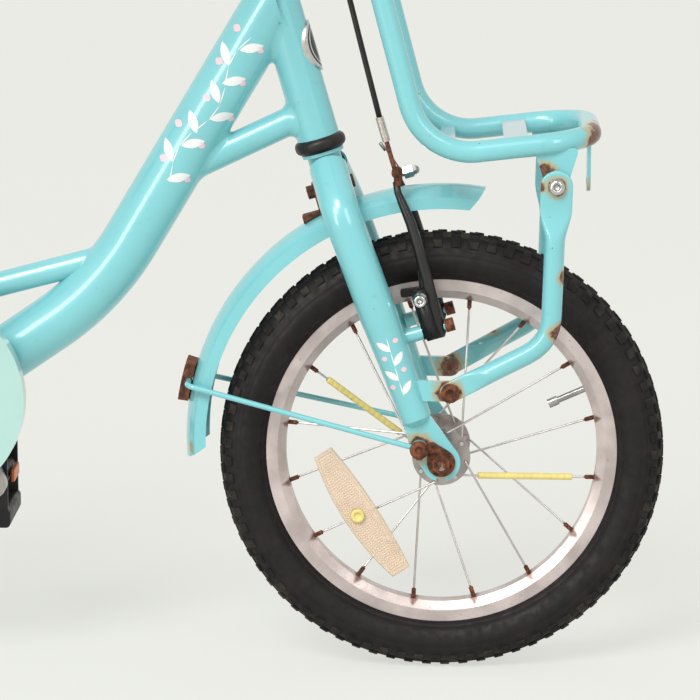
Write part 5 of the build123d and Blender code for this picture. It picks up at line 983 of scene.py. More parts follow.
@dataclass
class SpokeReflectors:
    """Two straws on spokes and one lens clipped between spokes of the front wheel."""

    shop: Workshop
    turn: float = math.radians(217.0)
    reach: float = 0.0887
    tilt: float = math.radians(-57.2)
    near: float = -0.026
    far: float = -0.021
    half: float = 0.065
    end: float = 0.009
    bulges: tuple[float, float] = (0.0175, 0.013)
    boss_out: float = 0.0046
    pitch: float = 0.0024
    rim: float = 0.0034

    def outline(self, inset: float, steps: int = 12) -> list[tuple[float, float]]:
        """Gives the lens's bowed outline, drawn in by an inset."""
        half, spots = self.half - inset, []
        for sign, bulge in zip((-1, 1), self.bulges):
            for step in range(steps + 1):
                place = sign * (1 - 2 * step / steps)
                width = self.end + (bulge - self.end) * (1 - place * place) - inset
                spots.append((place * half, sign * width))
        return spots

    def place(self, along: float, across: float, y: float) -> Vector:
        """Gives a point of the lens from its own directions."""
        middle = FRONT_AXLE + Vector((math.cos(self.turn), 0, math.sin(self.turn))) * self.reach
        run = Vector((math.cos(self.tilt), 0, math.sin(self.tilt)))
        return middle + run * along + Vector((-run.z, 0, run.x)) * across + Vector((0, y, 0))

    def prisms(self, finish: bpy.types.Material) -> list[bpy.types.Object]:
        """Builds rows of small pyramids inside the lens's rim."""
        run, across = (self.place(*step, 0) - self.place(0, 0, 0) for step in ((1, 0), (0, 1)))
        turn = Matrix((run, across, Vector((0, -1, 0)))).transposed()
        parts = []
        height = self.rim - self.bulges[0] + self.pitch / 2
        while height < self.bulges[1] - self.rim - self.pitch / 2:
            bulge = self.bulges[0] if height < 0 else self.bulges[1]
            rise = max(0.0, abs(height) + self.rim - self.end) / (bulge - self.end)
            count = int(2 * (self.half * math.sqrt(1 - rise) - self.rim) / self.pitch)
            if count > 1:
                work = bmesh.new()
                bmesh.ops.create_cone(
                    work, segments=4, radius1=0.0016, radius2=0.0002, depth=0.0004, cap_ends=True
                )
                bmesh.ops.rotate(work, verts=work.verts, matrix=Matrix.Rotation(math.pi / 4, 3, "Z"))
                bmesh.ops.transform(work, verts=work.verts, matrix=turn.to_4x4())
                shape = new_mesh("prism", work, finish, False)
                start = self.place(-(count - 1) / 2 * self.pitch, height, self.near + 0.0006)
                inputs = {"Count": count, "Centre": start, "Step": run * self.pitch}
                parts.append(self.shop.line.lay("prisms", shape, finish, **inputs))
            height += self.pitch
        return parts

    def lens(self) -> list[bpy.types.Object]:
        """Builds the lens with its rim, sunk prism field and boss."""
        clear = Lens("pale amber lens", (244, 224, 200), 520, 0.5).make()
        grid = Lens("prism field", (240, 218, 194), 640, 0.35).make()
        work = bmesh.new()
        rings = []
        back = [(0.0008, self.far), (0, self.far - 0.001)]
        front = [(0, self.near + 0.001), (0.0009, self.near)]
        well = [(0.0024, self.near), (0.003, self.near + 0.0009)]
        for inset, y in back + front + well:
            rings.append([work.verts.new(self.place(a, c, y)) for a, c in self.outline(inset)])
        skin(work, rings)
        boss = bmesh.new()
        lathe(boss, self.place(0, -self.boss_out, self.near), Vector((0, -1, 0)),
              [(-0.0005, 0.0), (-0.0005, 0.0062), (0.002, 0.0062), (0.0028, 0.0054), (0.0028, 0.0034),
               (0.0018, 0.003), (0.0018, 0.0)], 28)
        parts = [new_mesh("lens", work, clear, False), new_mesh("boss", boss, self.shop.straw)]
        return parts + self.prisms(grid)

    def spoke(self, index: int) -> tuple[Vector, Vector]:
        """Gives the hub end and rim end of one front spoke."""
        side = 1 if index % 2 == 0 else -1
        leads = ((index + 1) // 2) % 2 == 1
        rim = math.radians(12.5 + index * 22.5)
        hub = rim + math.radians(45) * (1 if leads else -1)
        off = 0.0015 + 0.001 + 0.0019
        hub_y = side * (0.030 + (off if leads else -off))
        rim_y = side * (0.002 if leads else 0.001)
        start = Vector((0.022 * math.cos(hub), hub_y, 0.022 * math.sin(hub)))
        end = Vector((0.1428 * math.cos(rim), rim_y, 0.1428 * math.sin(rim)))
        return FRONT_AXLE + start, FRONT_AXLE + end

    def straws(self) -> list[bpy.types.Object]:
        """Builds the slit tubes round two spokes, with beads along them."""
        parts = []
        for index in (6, 15):
            start, end = self.spoke(index)
            low, high = start.lerp(end, 0.16), start.lerp(end, 0.82)
            axis = (high - low).normalized()
            length = (high - low).length
            steps = 14
            bead = length / steps
            profile = [(0.0, 0.0012), (0.0, 0.0027)]
            for step in range(steps):
                begin = length * step / steps
                profile += [(begin + 0.0006, 0.003), (begin + bead - 0.0006, 0.003), (begin + bead, 0.0028)]
            profile += [(length, 0.0012)]
            work = bmesh.new()
            lathe(work, low, axis, profile, 16)
            parts.append(new_mesh("straw", work, self.shop.straw))
        return parts

    def build(self) -> None:
        """Builds lens and straws as one piece on the front wheel."""
        piece = join("wheel_reflectors", self.lens() + self.straws())
        self.shop.keep(piece, "front_wheel", "lens_amber", "spoke_reflectors")


@dataclass(frozen=True)
class Tube:
    """A straight tube of the frame."""

    start: Vector
    end: Vector
    radius: float

    def foot(self, spot: Vector) -> Vector:
        """Gives the point of the tube's axis nearest to a spot."""
        axis = (self.end - self.start).normalized()
        return self.start + axis * (spot - self.start).dot(axis)

    def outward(self, spot: Vector) -> Vector:
        """Gives the direction out of the tube at a spot."""
        return (spot - self.foot(spot)).normalized()

    def settle(self, spot: Vector, sink: float = 0.0001) -> Vector:
        """Gives the spot brought just under the tube's skin."""
        return self.foot(spot) + self.outward(spot) * (self.radius - sink)


@dataclass
class FrameTubes:
    """The welded frame with its dressed welds, badge and painted sprig."""

    shop: Workshop
    head: Tube = Tube(steer(0, 0, 303), steer(0, 0, 478), 0.019)
    main: Tube = Tube(Vector((0.092641, 0, 0.3438)), Vector((0.251547, 0, 0.607222)), 0.0254)
    gusset: Tube = Tube(Vector((0.154381, 0, 0.446148)), Vector((0.281129, 0, 0.506061)), 0.0127)
    cross: Tube = Tube(Vector((-0.083654, 0, 0.326411)), Vector((0.113589, 0, 0.378525)), 0.0111)
    seat: Tube = Tube(Vector((-0.053659, 0, 0.244)), Vector((-0.14532, 0, 0.495838)), 0.0159)
    sink: float = 0.0008
    fillet_steps: int = 8

    def seam(self, wall: Tube, branch: Tube, towards_end: bool, steps: int = 96) -> list[Vector]:
        """Gives the closed line where a branch tube meets a wall tube.

        Args:
            wall: The tube that carries on.
            branch: The tube that ends on it.
            towards_end: Whether the branch's end, not its start, meets the wall.
            steps: Points on the line.

        Returns:
            The line's points.
        """
        axis = (wall.end - wall.start).normalized()
        run = (branch.end - branch.start).normalized() * (1 if towards_end else -1)
        base = branch.start if towards_end else branch.end
        side = run.orthogonal().normalized()
        up = run.cross(side)
        flat_run = run - axis * run.dot(axis)
        line = []
        for step in range(steps):
            angle = math.tau * step / steps
            start = base + (side * math.cos(angle) + up * math.sin(angle)) * branch.radius
            gap = start - wall.start
            flat_gap = gap - axis * gap.dot(axis)
            half = flat_gap.dot(flat_run) / flat_run.length_squared
            rest = (flat_gap.length_squared - wall.radius**2) / flat_run.length_squared
            line.append(start + run * (-half - math.sqrt(max(0.0, half * half - rest))))
        return line

    def weld(
        self, name: str, wall: Tube, branch: Tube, towards_end: bool, leg: float = 0.008
    ) -> bpy.types.Object:
        """Builds the dressed weld, a hollow fillet, where a branch tube meets a wall tube.

        Args:
            name: The piece's name.
            wall: The tube that carries on.
            branch: The tube that ends on it.
            towards_end: Whether the branch's end, not its start, meets the wall.
            leg: How far the fillet runs out on each tube.

        Returns:
            The fillet.
        """
        line = self.seam(wall, branch, towards_end)
        work = bmesh.new()
        rings = []
        for index, spot in enumerate(line):
            tangent = (line[(index + 1) % len(line)] - line[index - 1]).normalized()
            off_wall, off_branch = wall.outward(spot), branch.outward(spot)
            on_wall = off_branch - off_wall * off_branch.dot(off_wall) - tangent * off_branch.dot(tangent)
            on_branch = off_wall - off_branch * off_wall.dot(off_branch) - tangent * off_wall.dot(tangent)
            fade = leg * min(1.0, 1.6 * on_wall.length)
            first = wall.settle(spot + on_wall.normalized() * fade)
            last = branch.settle(spot + on_branch.normalized() * fade)
            ring = [spot - (off_wall + off_branch) * self.sink]
            for step in range(self.fillet_steps + 1):
                share = step / self.fillet_steps
                pull = 2 * share * (1 - share)
                ring.append(first * (1 - share) ** 2 + spot * pull + last * share**2)
            rings.append([work.verts.new(point) for point in ring])
        skin(work, rings + rings[:1], False)
        for ring, after in zip(rings, rings[1:] + rings[:1]):
            for place in (0, 1, -1):
                work.edges.get([ring[place], after[place]]).smooth = False
        return new_mesh(name, work, self.shop.mint)

    def welds(self) -> None:
        """Builds the frame's dressed welds."""
        beads = [
            self.weld("weld_main", self.head, self.main, True),
            self.weld("weld_gusset_head", self.head, self.gusset, True),
            self.weld("weld_gusset_main", self.main, self.gusset, False),
            self.weld("weld_cross_main", self.main, self.cross, True),
            self.weld("weld_cross_seat", self.seat, self.cross, False),
        ]
        self.shop.keep(join("frame_welds", beads), "frame", "mint_paint")

    def sprig(self) -> None:
        """Paints a sprig of leaves and berries along the upper main tube."""
        surface = Print("main_tube")
        axis = (self.main.end - self.main.start).normalized()
        lift = Vector((-axis.z, 0, axis.x))
        leaves, berries = bmesh.new(), bmesh.new()
        for index in range(9):
            sign = 1 if index % 2 else -1
            sway = 0.0055 * math.sin(index * 1.1)
            middle = self.main.start + axis * (0.128 + 0.0165 * index) + lift * sway
            lean = 0.35 * math.cos(index * 1.1)
            surface.leaf(leaves, middle, axis * math.cos(lean) + lift * math.sin(lean), 0.0175, 0.0011)
            tilt = sign * 0.85
            beside = middle + lift * (sign * 0.0075)
            surface.leaf(leaves, beside, axis * math.cos(tilt) + lift * math.sin(tilt), 0.021, 0.0082)
            if index % 2 == 0:
                surface.leaf(berries, middle + axis * 0.008 + lift * 0.0125, axis, 0.0072, 0.0072)
                surface.leaf(berries, middle + axis * 0.002 - lift * 0.015, axis, 0.0058, 0.0058)
        self.shop.keep(new_mesh("main_tube_leaves", leaves, self.shop.white), "frame", "mint_paint")
        self.shop.keep(new_mesh("main_tube_berries", berries, self.shop.rose), "frame", "mint_paint")

    def build(self) -> None:
        """Builds and dresses the frame."""
        for node in ("head_tube", "main_tube", "frame_braces", "seat_tube",
                     "bottom_bracket_shell", "rear_stays",
                     "rear_fender"):
            self.shop.dress(node, self.shop.mint)
        cups = Moulding("headset ring", (22, 19, 19), (84, 60, 46), 0.3, 0.42)
        self.shop.dress("bearing_cups", cups.make())
        self.shop.dress("seat_clamp", self.shop.bright)
        self.shop.dress("rear_axle", self.shop.steel)
        self.shop.dress("coaster_brake_arm", self.shop.steel)
        self.shop.dress("rear_fender_stay", self.shop.steel)
        badge = BadgeFace("badge face", tuple(steer(0, 0, 382)), tuple(STEER_UP))
        self.shop.dress("head_badge", badge.make())
        self.shop.dress("rear_reflector", Lens("red lens", (176, 22, 18), 420, 0.15).make())
        self.welds()
        self.sprig()


@dataclass
class ForkAndBrake:
    """The fork, front fender, brake arms and brake cable."""

    shop: Workshop
    housing: tuple[Point, ...] = (
        (0.207325, -0.226048, 0.827759), (0.230101, -0.209834, 0.829303), (0.26746, -0.178, 0.846173),
        (0.28346, -0.128, 0.838173), (0.28446, -0.086, 0.804173), (0.27946, -0.058, 0.754173),
        (0.293787, -0.047, 0.687239), (0.313189, -0.052, 0.626233), (0.328191, -0.054, 0.566023),
        (0.343027, -0.055, 0.508162),
    )
    housing_radius: float = 0.0025
    arm: tuple[tuple[float, float, float, float], ...] = (
        (57.0, 36.0, 250.0, 0.0030), (56.0, 36.5, 240.0, 0.0033), (57.5, 38.5, 228.0, 0.0040),
        (59.5, 41.0, 212.0, 0.0046), (60.0, 42.0, 190.0, 0.0048), (59.5, 42.8, 165.0, 0.0052),
        (58.5, 42.5, 145.0, 0.0058), (57.5, 41.0, 125.0, 0.0062), (57.0, 40.0, 110.0, 0.0058),
        (56.8, 40.0, 106.5, 0.0040),
    )
    block: Point = (0.015, 0.014, 0.046)
    pad_bolt: tuple[tuple[float, float], ...] = (
        (0.0, 0.0), (0.0, 0.0062), (0.0035, 0.0066), (0.004, 0.0055), (0.011, 0.0053),
        (0.0118, 0.0046), (0.0118, 0.0028), (0.008, 0.0026), (0.008, 0.0),
    )
    roller: tuple[tuple[float, float], ...] = (
        (0.0, 0.0), (0.0, 0.0044), (0.001, 0.005), (0.011, 0.005), (0.012, 0.0044), (0.012, 0.0),
    )
    anchor_nut: tuple[tuple[float, float], ...] = (
        (-0.0125, 0.0), (-0.0125, 0.0034), (-0.004, 0.0034), (-0.004, 0.0062), (0.0045, 0.0062),
        (0.0048, 0.0048), (0.0075, 0.0044), (0.0098, 0.003), (0.0108, 0.0),
    )

    def enamel(self, node: str) -> bpy.types.Material:
        """Gives the mint enamel with this node's own rust."""
        return Enamel(f"mint {node}", MINT, MINT_RUST.get(node, ())).make()

    def cable(self) -> None:
        """Builds the brake housing on its smooth route and the inner wire."""
        guide = guide_line("housing_route", "NURBS", self.housing)
        spline = guide.data.splines[0]
        spline.order_u = 3
        spline.use_endpoint_u = True
        spline.resolution_u = 8
        line = bpy.data.meshes.new_from_object(guide.evaluated_get(bpy.context.evaluated_depsgraph_get()))
        path = [vertex.co.copy() for vertex in line.vertices]
        bpy.data.objects.remove(guide)
        work = bmesh.new()
        tube(work, path, self.housing_radius, 14)
        piece = new_mesh("brake_housing", work, self.shop.black_plastic)
        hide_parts("brake_cable")
        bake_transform(piece)
        LOG.info("built brake_housing")
        wire = bmesh.new()
        start, end = steer(60, -14, 257), steer(60, 30.7, 248.5)
        tube(wire, [start, start.lerp(end, 0.5), end], 0.0008, 8)
        self.shop.keep(new_mesh("brake_wire", wire, self.shop.steel), "brake_right", "bright_steel")

    def arms(self) -> None:
        """Builds the forged brake arms, and the stirrup on the right one."""
        for side, name in ((-1, "right"), (1, "left")):
            arm = bmesh.new()
            path = [steer(ahead, side * y, along) for ahead, y, along, _ in self.arm]
            tube(arm, path, [radius for *_, radius in self.arm], 16)
            made = bmesh.ops.create_cube(arm, size=1.0)["verts"]
            bmesh.ops.scale(arm, verts=made, vec=self.block)
            turn = Matrix((STEER_AHEAD, Vector((0, 1, 0)), STEER_UP)).transposed().to_4x4()
            bmesh.ops.transform(arm, verts=made, matrix=turn)
            bmesh.ops.translate(arm, verts=made, vec=steer(50, side * 41.5, 130))
            edges = list({edge for vert in made for edge in vert.link_edges})
            bmesh.ops.bevel(arm, geom=edges, offset=0.0022, segments=3, affect="EDGES")
            parts = [new_mesh("arm", arm, self.shop.black_metal)]
            if side < 0:
                stirrup = bmesh.new()
                tube(stirrup, [steer(57.5, -36, 246), steer(59.5, -36, 253), steer(60, -36, 258)], 0.0036, 12)
                lathe(stirrup, steer(60, -38, 257), Vector((0, 1, 0)), self.roller, 20)
                parts.append(new_mesh("stirrup", stirrup, self.shop.rust))
            piece = join(f"forged_arm_{name}", parts)
            self.shop.keep(piece, f"brake_{name}", "black_metal", f"brake_arm_{name}")

    def fittings(self) -> None:
        """Builds the bolts, nuts and springs of the brake arms."""
        for side, name in ((-1, "right"), (1, "left")):
            bright = bmesh.new()
            post = steer(49, side * 51.3, 146)
            lathe(bright, post, Vector((0, side, 0)), self.pad_bolt, 24)
            piece = new_mesh(f"pad_bolt_{name}", bright, self.shop.bright)
            self.shop.keep(piece, f"brake_{name}", "bright_steel")
            spring = bmesh.new()
            route = [steer(52, side * 35.5, 112), steer(50, side * 33.5, 128), steer(51, side * 34, 150),
                     steer(54, side * 36, 168), steer(59, side * 37, 172)]
            tube(spring, route, 0.0011, 8)
            piece = new_mesh(f"return_spring_{name}", spring, self.shop.black_metal)
            self.shop.keep(piece, f"brake_{name}", "black_metal")
        acorn = bmesh.new()
        lathe(acorn, steer(66, 36, 246), STEER_AHEAD, self.anchor_nut, 6)
        tail = bmesh.new()
        tube(tail, [steer(60, 36, 249), steer(56, 37, 262), steer(52, 36, 272)], 0.0007, 8)
        lathe(tail, steer(52, 36, 270), (STEER_UP * 0.9 - STEER_AHEAD * 0.35).normalized(),
              [(0.0, 0.0), (0.0, 0.0017), (0.008, 0.0017), (0.0088, 0.0012), (0.0088, 0.0)], 12)
        nut = new_mesh("anchor_nut", acorn, self.shop.bright, False)
        end = new_mesh("wire_end", tail, self.shop.steel)
        self.shop.keep(join("anchor_nut_and_wire_end", [nut, end]), "brake_left", "bright_steel")

    def sprig(self) -> None:
        """Paints a short sprig on the right fork blade."""
        surface = Print("fork")
        side = Vector((-STEER_UP.z, 0, STEER_UP.x))
        middle = Vector((0.3575, 0, 0.288))
        leaves, berries = bmesh.new(), bmesh.new()
        for index in range(4):
            sign = 1 if index % 2 else -1
            spot = middle + STEER_UP * (0.0135 * (index - 1.5))
            surface.leaf(leaves, spot, STEER_UP, 0.0145, 0.001)
            tilt = sign * 0.75
            lean = STEER_UP * math.cos(tilt) + side * math.sin(tilt)
            surface.leaf(leaves, spot + side * (sign * 0.0048), lean, 0.0145, 0.006)
            surface.leaf(berries, spot - side * (sign * 0.0068) + STEER_UP * 0.003, STEER_UP, 0.005, 0.005)
        self.shop.keep(new_mesh("fork_leaves", leaves, self.shop.white), "steering", "mint_paint")
        self.shop.keep(new_mesh("fork_berries", berries, self.shop.rose), "steering", "mint_paint")

    def bolts(self) -> None:
        """Dresses the fork's bolts: rusted low ones and bright ones at the carrier."""
        steel = TwoTone("bolt steel", (128, 70, 40), (206, 192, 182), (0.49, 0, 0.43), (0.6, 0, 0.8))
        self.shop.dress("fork_bolts", steel.make())
        work = bmesh.new()
        for side in (-1, 1):
            bolt(work, Vector((0.4968, side * 0.0868, 0.4517)), Vector((0, side, 0)), 0.0068, 0.0034)
        self.shop.keep(new_mesh("carrier_bolt_heads", work, self.shop.bright), "steering", "bright_steel")
        rusted = bmesh.new()
        for side in (-1, 1):
            out = Vector((0, side, 0))
            bolt(rusted, Vector((0.405841, side * 0.0658, 0.265)), out, 0.0084, 0.0032, 0.5)
            bolt(rusted, Vector((0.378741, side * 0.0628, 0.2132)), out, 0.0082, 0.0036, 0.42)
        self.shop.keep(new_mesh("fork_bolt_heads", rusted, self.shop.rust), "steering", "rusted_bolt")

    def build(self) -> None:
        """Builds and dresses the fork and brake."""
        shop = self.shop
        for node in ("fork", "front_fender"):
            shop.dress(node, self.enamel(node))
        shop.dress("fender_stay", shop.mint)
        shop.dress("fender_bracket", shop.rust)
        shop.dress("front_axle", Metal("rusted axle", (150, 140, 132), 0.4, 0.45).make())
        shop.dress("front_axle_nuts", shop.rust)
        shop.dress("headset_nuts", shop.steel)
        self.arms()
        for node in ("brake_pad_left", "brake_pad_right"):
            shop.dress(node, shop.black_plastic)
        ferrule, up = tuple(steer(60, -55, 289)), tuple(STEER_UP)
        pipe = TwoTone("rusted pipe and sleeve", (126, 70, 42), (206, 194, 186), ferrule, up)
        shop.dress("brake_noodle", pipe.make())
        self.cable()
        self.fittings()
        self.bolts()
        self.sprig()


@dataclass
class Carrier:
    """The front carrier: loop, slats, legs flattened at their ends, and brackets."""

    shop: Workshop
    leg_top: Point = (0.496841, 0.0815, 0.4517)
    leg_corner: Point = (0.493341, 0.071, 0.312)
    leg_bolt: Point = (0.405841, 0.0605, 0.265)
    bend: float = 0.024
    round_half: float = 0.009
    flat_half: float = 0.0025
    top_wide: float = 0.014
    low_wide: float = 0.0092
    top_flat: tuple[float, float] = (0.034, 0.064)
    low_flat: tuple[float, float] = (0.026, 0.052)
    step: float = 0.003
    rail: Vector = Vector((0.145600, 0, 0.016332)).normalized()
    slats: tuple[tuple[float, float, float], ...] = (
        (0.403341, 0.478223, 0.013),
        (0.462341, 0.484841, 0.021),
    )
    slat_rise: float = 0.0048

    def route(self) -> list[Vector]:
        """Gives evenly spaced points down the left leg, from its top edge to its lower edge."""
        top, corner, low = Vector(self.leg_top), Vector(self.leg_corner), Vector(self.leg_bolt)
        down, back = (corner - top).normalized(), (low - corner).normalized()
        first, last = corner - down * self.bend, corner + back * self.bend
        rough = [top - down * self.top_wide, first]
        for share in (0.2, 0.4, 0.6, 0.8):
            rough.append(first.lerp(corner, share).lerp(corner.lerp(last, share), share))
        rough += [last, low + back * self.low_wide]
        places, left = [rough[0]], self.step
        for begin, end in zip(rough, rough[1:]):
            length = (end - begin).length
            while left < length:
                places.append(begin.lerp(end, left / length))
                left += self.step
            left -= length
        return places + [rough[-1]]

    def half_sizes(self, place: float, wide: float, flat: tuple[float, float]) -> tuple[float, float, float]:
        """Gives a leg's half width, half thickness and squareness at a distance from one end.

        Args:
            place: The distance from the end.
            wide: The flat end's half width.
            flat: Where the flat stops and where the tube is round.

        Returns:
            Half width, half thickness and a power from 1, round, to nearly 0, square.
        """
        share = min(1.0, max(0.0, (place - flat[0]) / (flat[1] - flat[0])))
        share = share * share * (3 - 2 * share)
        half = wide + (self.round_half - wide) * share
        if place < wide:
            half *= math.sqrt(max(0.02, 1 - (1 - place / wide) ** 2))
        return half, self.flat_half + (self.round_half - self.flat_half) * share, 0.35 + 0.65 * share

    def leg(self, side: int, finish: bpy.types.Material, sides: int = 24) -> bpy.types.Object:
        """Builds one leg."""
        places = [Vector((p.x, p.y * side, p.z)) for p in self.route()]
        lengths = [0.0]
        for begin, end in zip(places, places[1:]):
            lengths.append(lengths[-1] + (end - begin).length)
        work = bmesh.new()
        rings = []
        for index, place in enumerate(places):
            before, after = places[max(index - 1, 0)], places[min(index + 1, len(places) - 1)]
            run = (after - before).normalized()
            thick = (Vector((0, 1, 0)) - run * run.y).normalized()
            across = run.cross(thick)
            high = self.half_sizes(lengths[index], self.top_wide, self.top_flat)
            low = self.half_sizes(lengths[-1] - lengths[index], self.low_wide, self.low_flat)
            wide, deep, power = high if lengths[index] < lengths[-1] / 2 else low
            ring = []
            for corner in range(sides):
                turn = math.tau * (corner + 0.5) / sides
                x, y = math.cos(turn), math.sin(turn)
                x, y = math.copysign(abs(x) ** power, x), math.copysign(abs(y) ** power, y)
                ring.append(work.verts.new(place + across * (x * wide) + thick * (y * deep)))
            rings.append(ring)
        skin(work, rings)
        return new_mesh("leg", work, finish)

    def bars(self) -> bpy.types.Object:
        """Builds the slats across the rails, coloured pale blue-white as a painted highlight."""
        work = bmesh.new()
        lift = Vector((-self.rail.z, 0, self.rail.x))
        for x, z, wide in self.slats:
            made = bmesh.ops.create_cube(work, size=1.0)["verts"]
            bmesh.ops.scale(work, verts=made, vec=(wide, 0.147, 0.0025))
            turn = Matrix((self.rail, Vector((0, 1, 0)), lift)).transposed().to_4x4()
            bmesh.ops.transform(work, verts=made, matrix=turn)
            bmesh.ops.translate(work, verts=made, vec=Vector((x, 0, z)) + lift * self.slat_rise)
        bmesh.ops.bevel(work, geom=work.edges[:], offset=0.0007, segments=2, affect="EDGES")
        # Painted highlight: the slats' pale blue-white colour stands for their flat tops blown out by the
        # light.
        return new_mesh("carrier_bars", work, Enamel("slats painted highlight", (172, 200, 210), (), 0.02).make(), False)

    def build(self) -> None:
        """Builds the legs and slats, and dresses the rest."""
        shop = self.shop
        mint = Enamel("mint legs", MINT, MINT_RUST["carrier_legs"], 0.02).make()
        legs = join("flattened_legs", [self.leg(side, mint) for side in (-1, 1)])
        shop.keep(legs, "steering", "mint_paint", "carrier_legs")
        shop.keep(self.bars(), "steering", "mint_paint", "carrier_slats")
        shop.dress("carrier_loop", Enamel("mint carrier loop", MINT, MINT_RUST["carrier_loop"], 0.02).make())
        shop.dress("carrier_brackets", Enamel("mint brackets", MINT, ((0.5273, 0, 0.444, 0.008),)).make())


@dataclass
class Drive:
    """Cranks, chainring, chain, guard and pedals."""

    shop: Workshop
    reflector_wide: float = 0.036
    reflector_tall: float = 0.011
    reflector_out: float = 0.0016

    def reflectors(self, node: str, amber: bpy.types.Material) -> None:
        """Builds the amber reflectors on a pedal's front and back."""
        low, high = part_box(node)
        middle = (low + high) / 2
        work = bmesh.new()
        size = (2 * self.reflector_out, self.reflector_wide, self.reflector_tall)
        for face in (low.x, high.x):
            made = bmesh.ops.create_cube(work, size=1.0)["verts"]
            bmesh.ops.scale(work, verts=made, vec=size)
            bmesh.ops.translate(work, verts=made, vec=(face, middle.y, middle.z))
        bmesh.ops.bevel(work, geom=work.edges[:], offset=0.0005, segments=1, affect="EDGES")
        piece = new_mesh(f"{node}_reflectors", work, amber, False)
        self.shop.keep(piece, node, "lens_amber")

    def build(self) -> None:
        """Dresses the drive."""
        shop = self.shop
        amber = Lens("amber lens", (214, 104, 26), 420, 0.12).make()
        shop.dress("chain_guard", Enamel("pale mint guard", (176, 214, 206)).make())
        for node in ("cranks", "chainring", "rear_sprocket"):
            shop.dress(node, shop.steel)
        shop.dress("chain", Metal("oiled chain", (112, 100, 90), 0.36, 0.16).make())
        for node in ("pedal_left", "pedal_right"):
            shop.dress(node, shop.black_plastic)
            self.reflectors(node, amber)


@dataclass
class Cockpit:
    """Handlebar, stem, grips and brake lever."""

    shop: Workshop
    clamp: Point = (0.25546, 0.0, 0.754173)
    bend: Point = (-0.034, 0.200, 0.086)
    tip: Point = (-0.152, 0.284, 0.078)
    bore: float = 0.0112
    crest: float = 0.0155
    valley: float = 0.0143
    ribs: int = 15

    def grip(self, side: int) -> bpy.types.Object:
        """Builds one ribbed grip over the CAD grip's length."""
        flip = Matrix.Diagonal((1, side, 1))
        end = Vector(self.clamp) + flip @ Vector(self.tip)
        axis = (Vector(self.clamp) + flip @ Vector(self.bend) - end).normalized()
        reach = [(v.co - end).dot(axis) for v in frame["nodes"]["grips"].data.vertices if v.co.y * side > 0]
        first, last = min(reach), max(reach)
        pitch = (last - first - 0.008) / self.ribs
        profile = [(first, 0.0), (first, self.valley), (first + 0.0012, self.crest)]
        for rib in range(self.ribs):
            begin = first + 0.004 + rib * pitch
            profile += [(begin, self.crest), (begin + 0.2 * pitch, self.valley)]
            profile += [(begin + 0.55 * pitch, self.valley), (begin + 0.75 * pitch, self.crest)]
        profile += [(last, self.crest), (last, self.bore), (first + 0.003, self.bore), (first + 0.003, 0.0)]
        work = bmesh.new()
        lathe(work, end, axis, profile, 28)
        return new_mesh("grip", work, Moulding("tan grips", (132, 86, 56), (176, 136, 100), 0.3, 0.6).make())

    def build(self) -> None:
        """Dresses the cockpit and builds the grips."""
        shop = self.shop
        for node in ("handlebar", "stem"):
            shop.dress(node, shop.bright)
        shop.keep(join("ribbed_grips", [self.grip(-1), self.grip(1)]), "steering", "grip_rubber", "grips")
        shop.dress("brake_lever_mount", shop.black_metal)
        shop.dress("brake_lever", shop.black_metal)


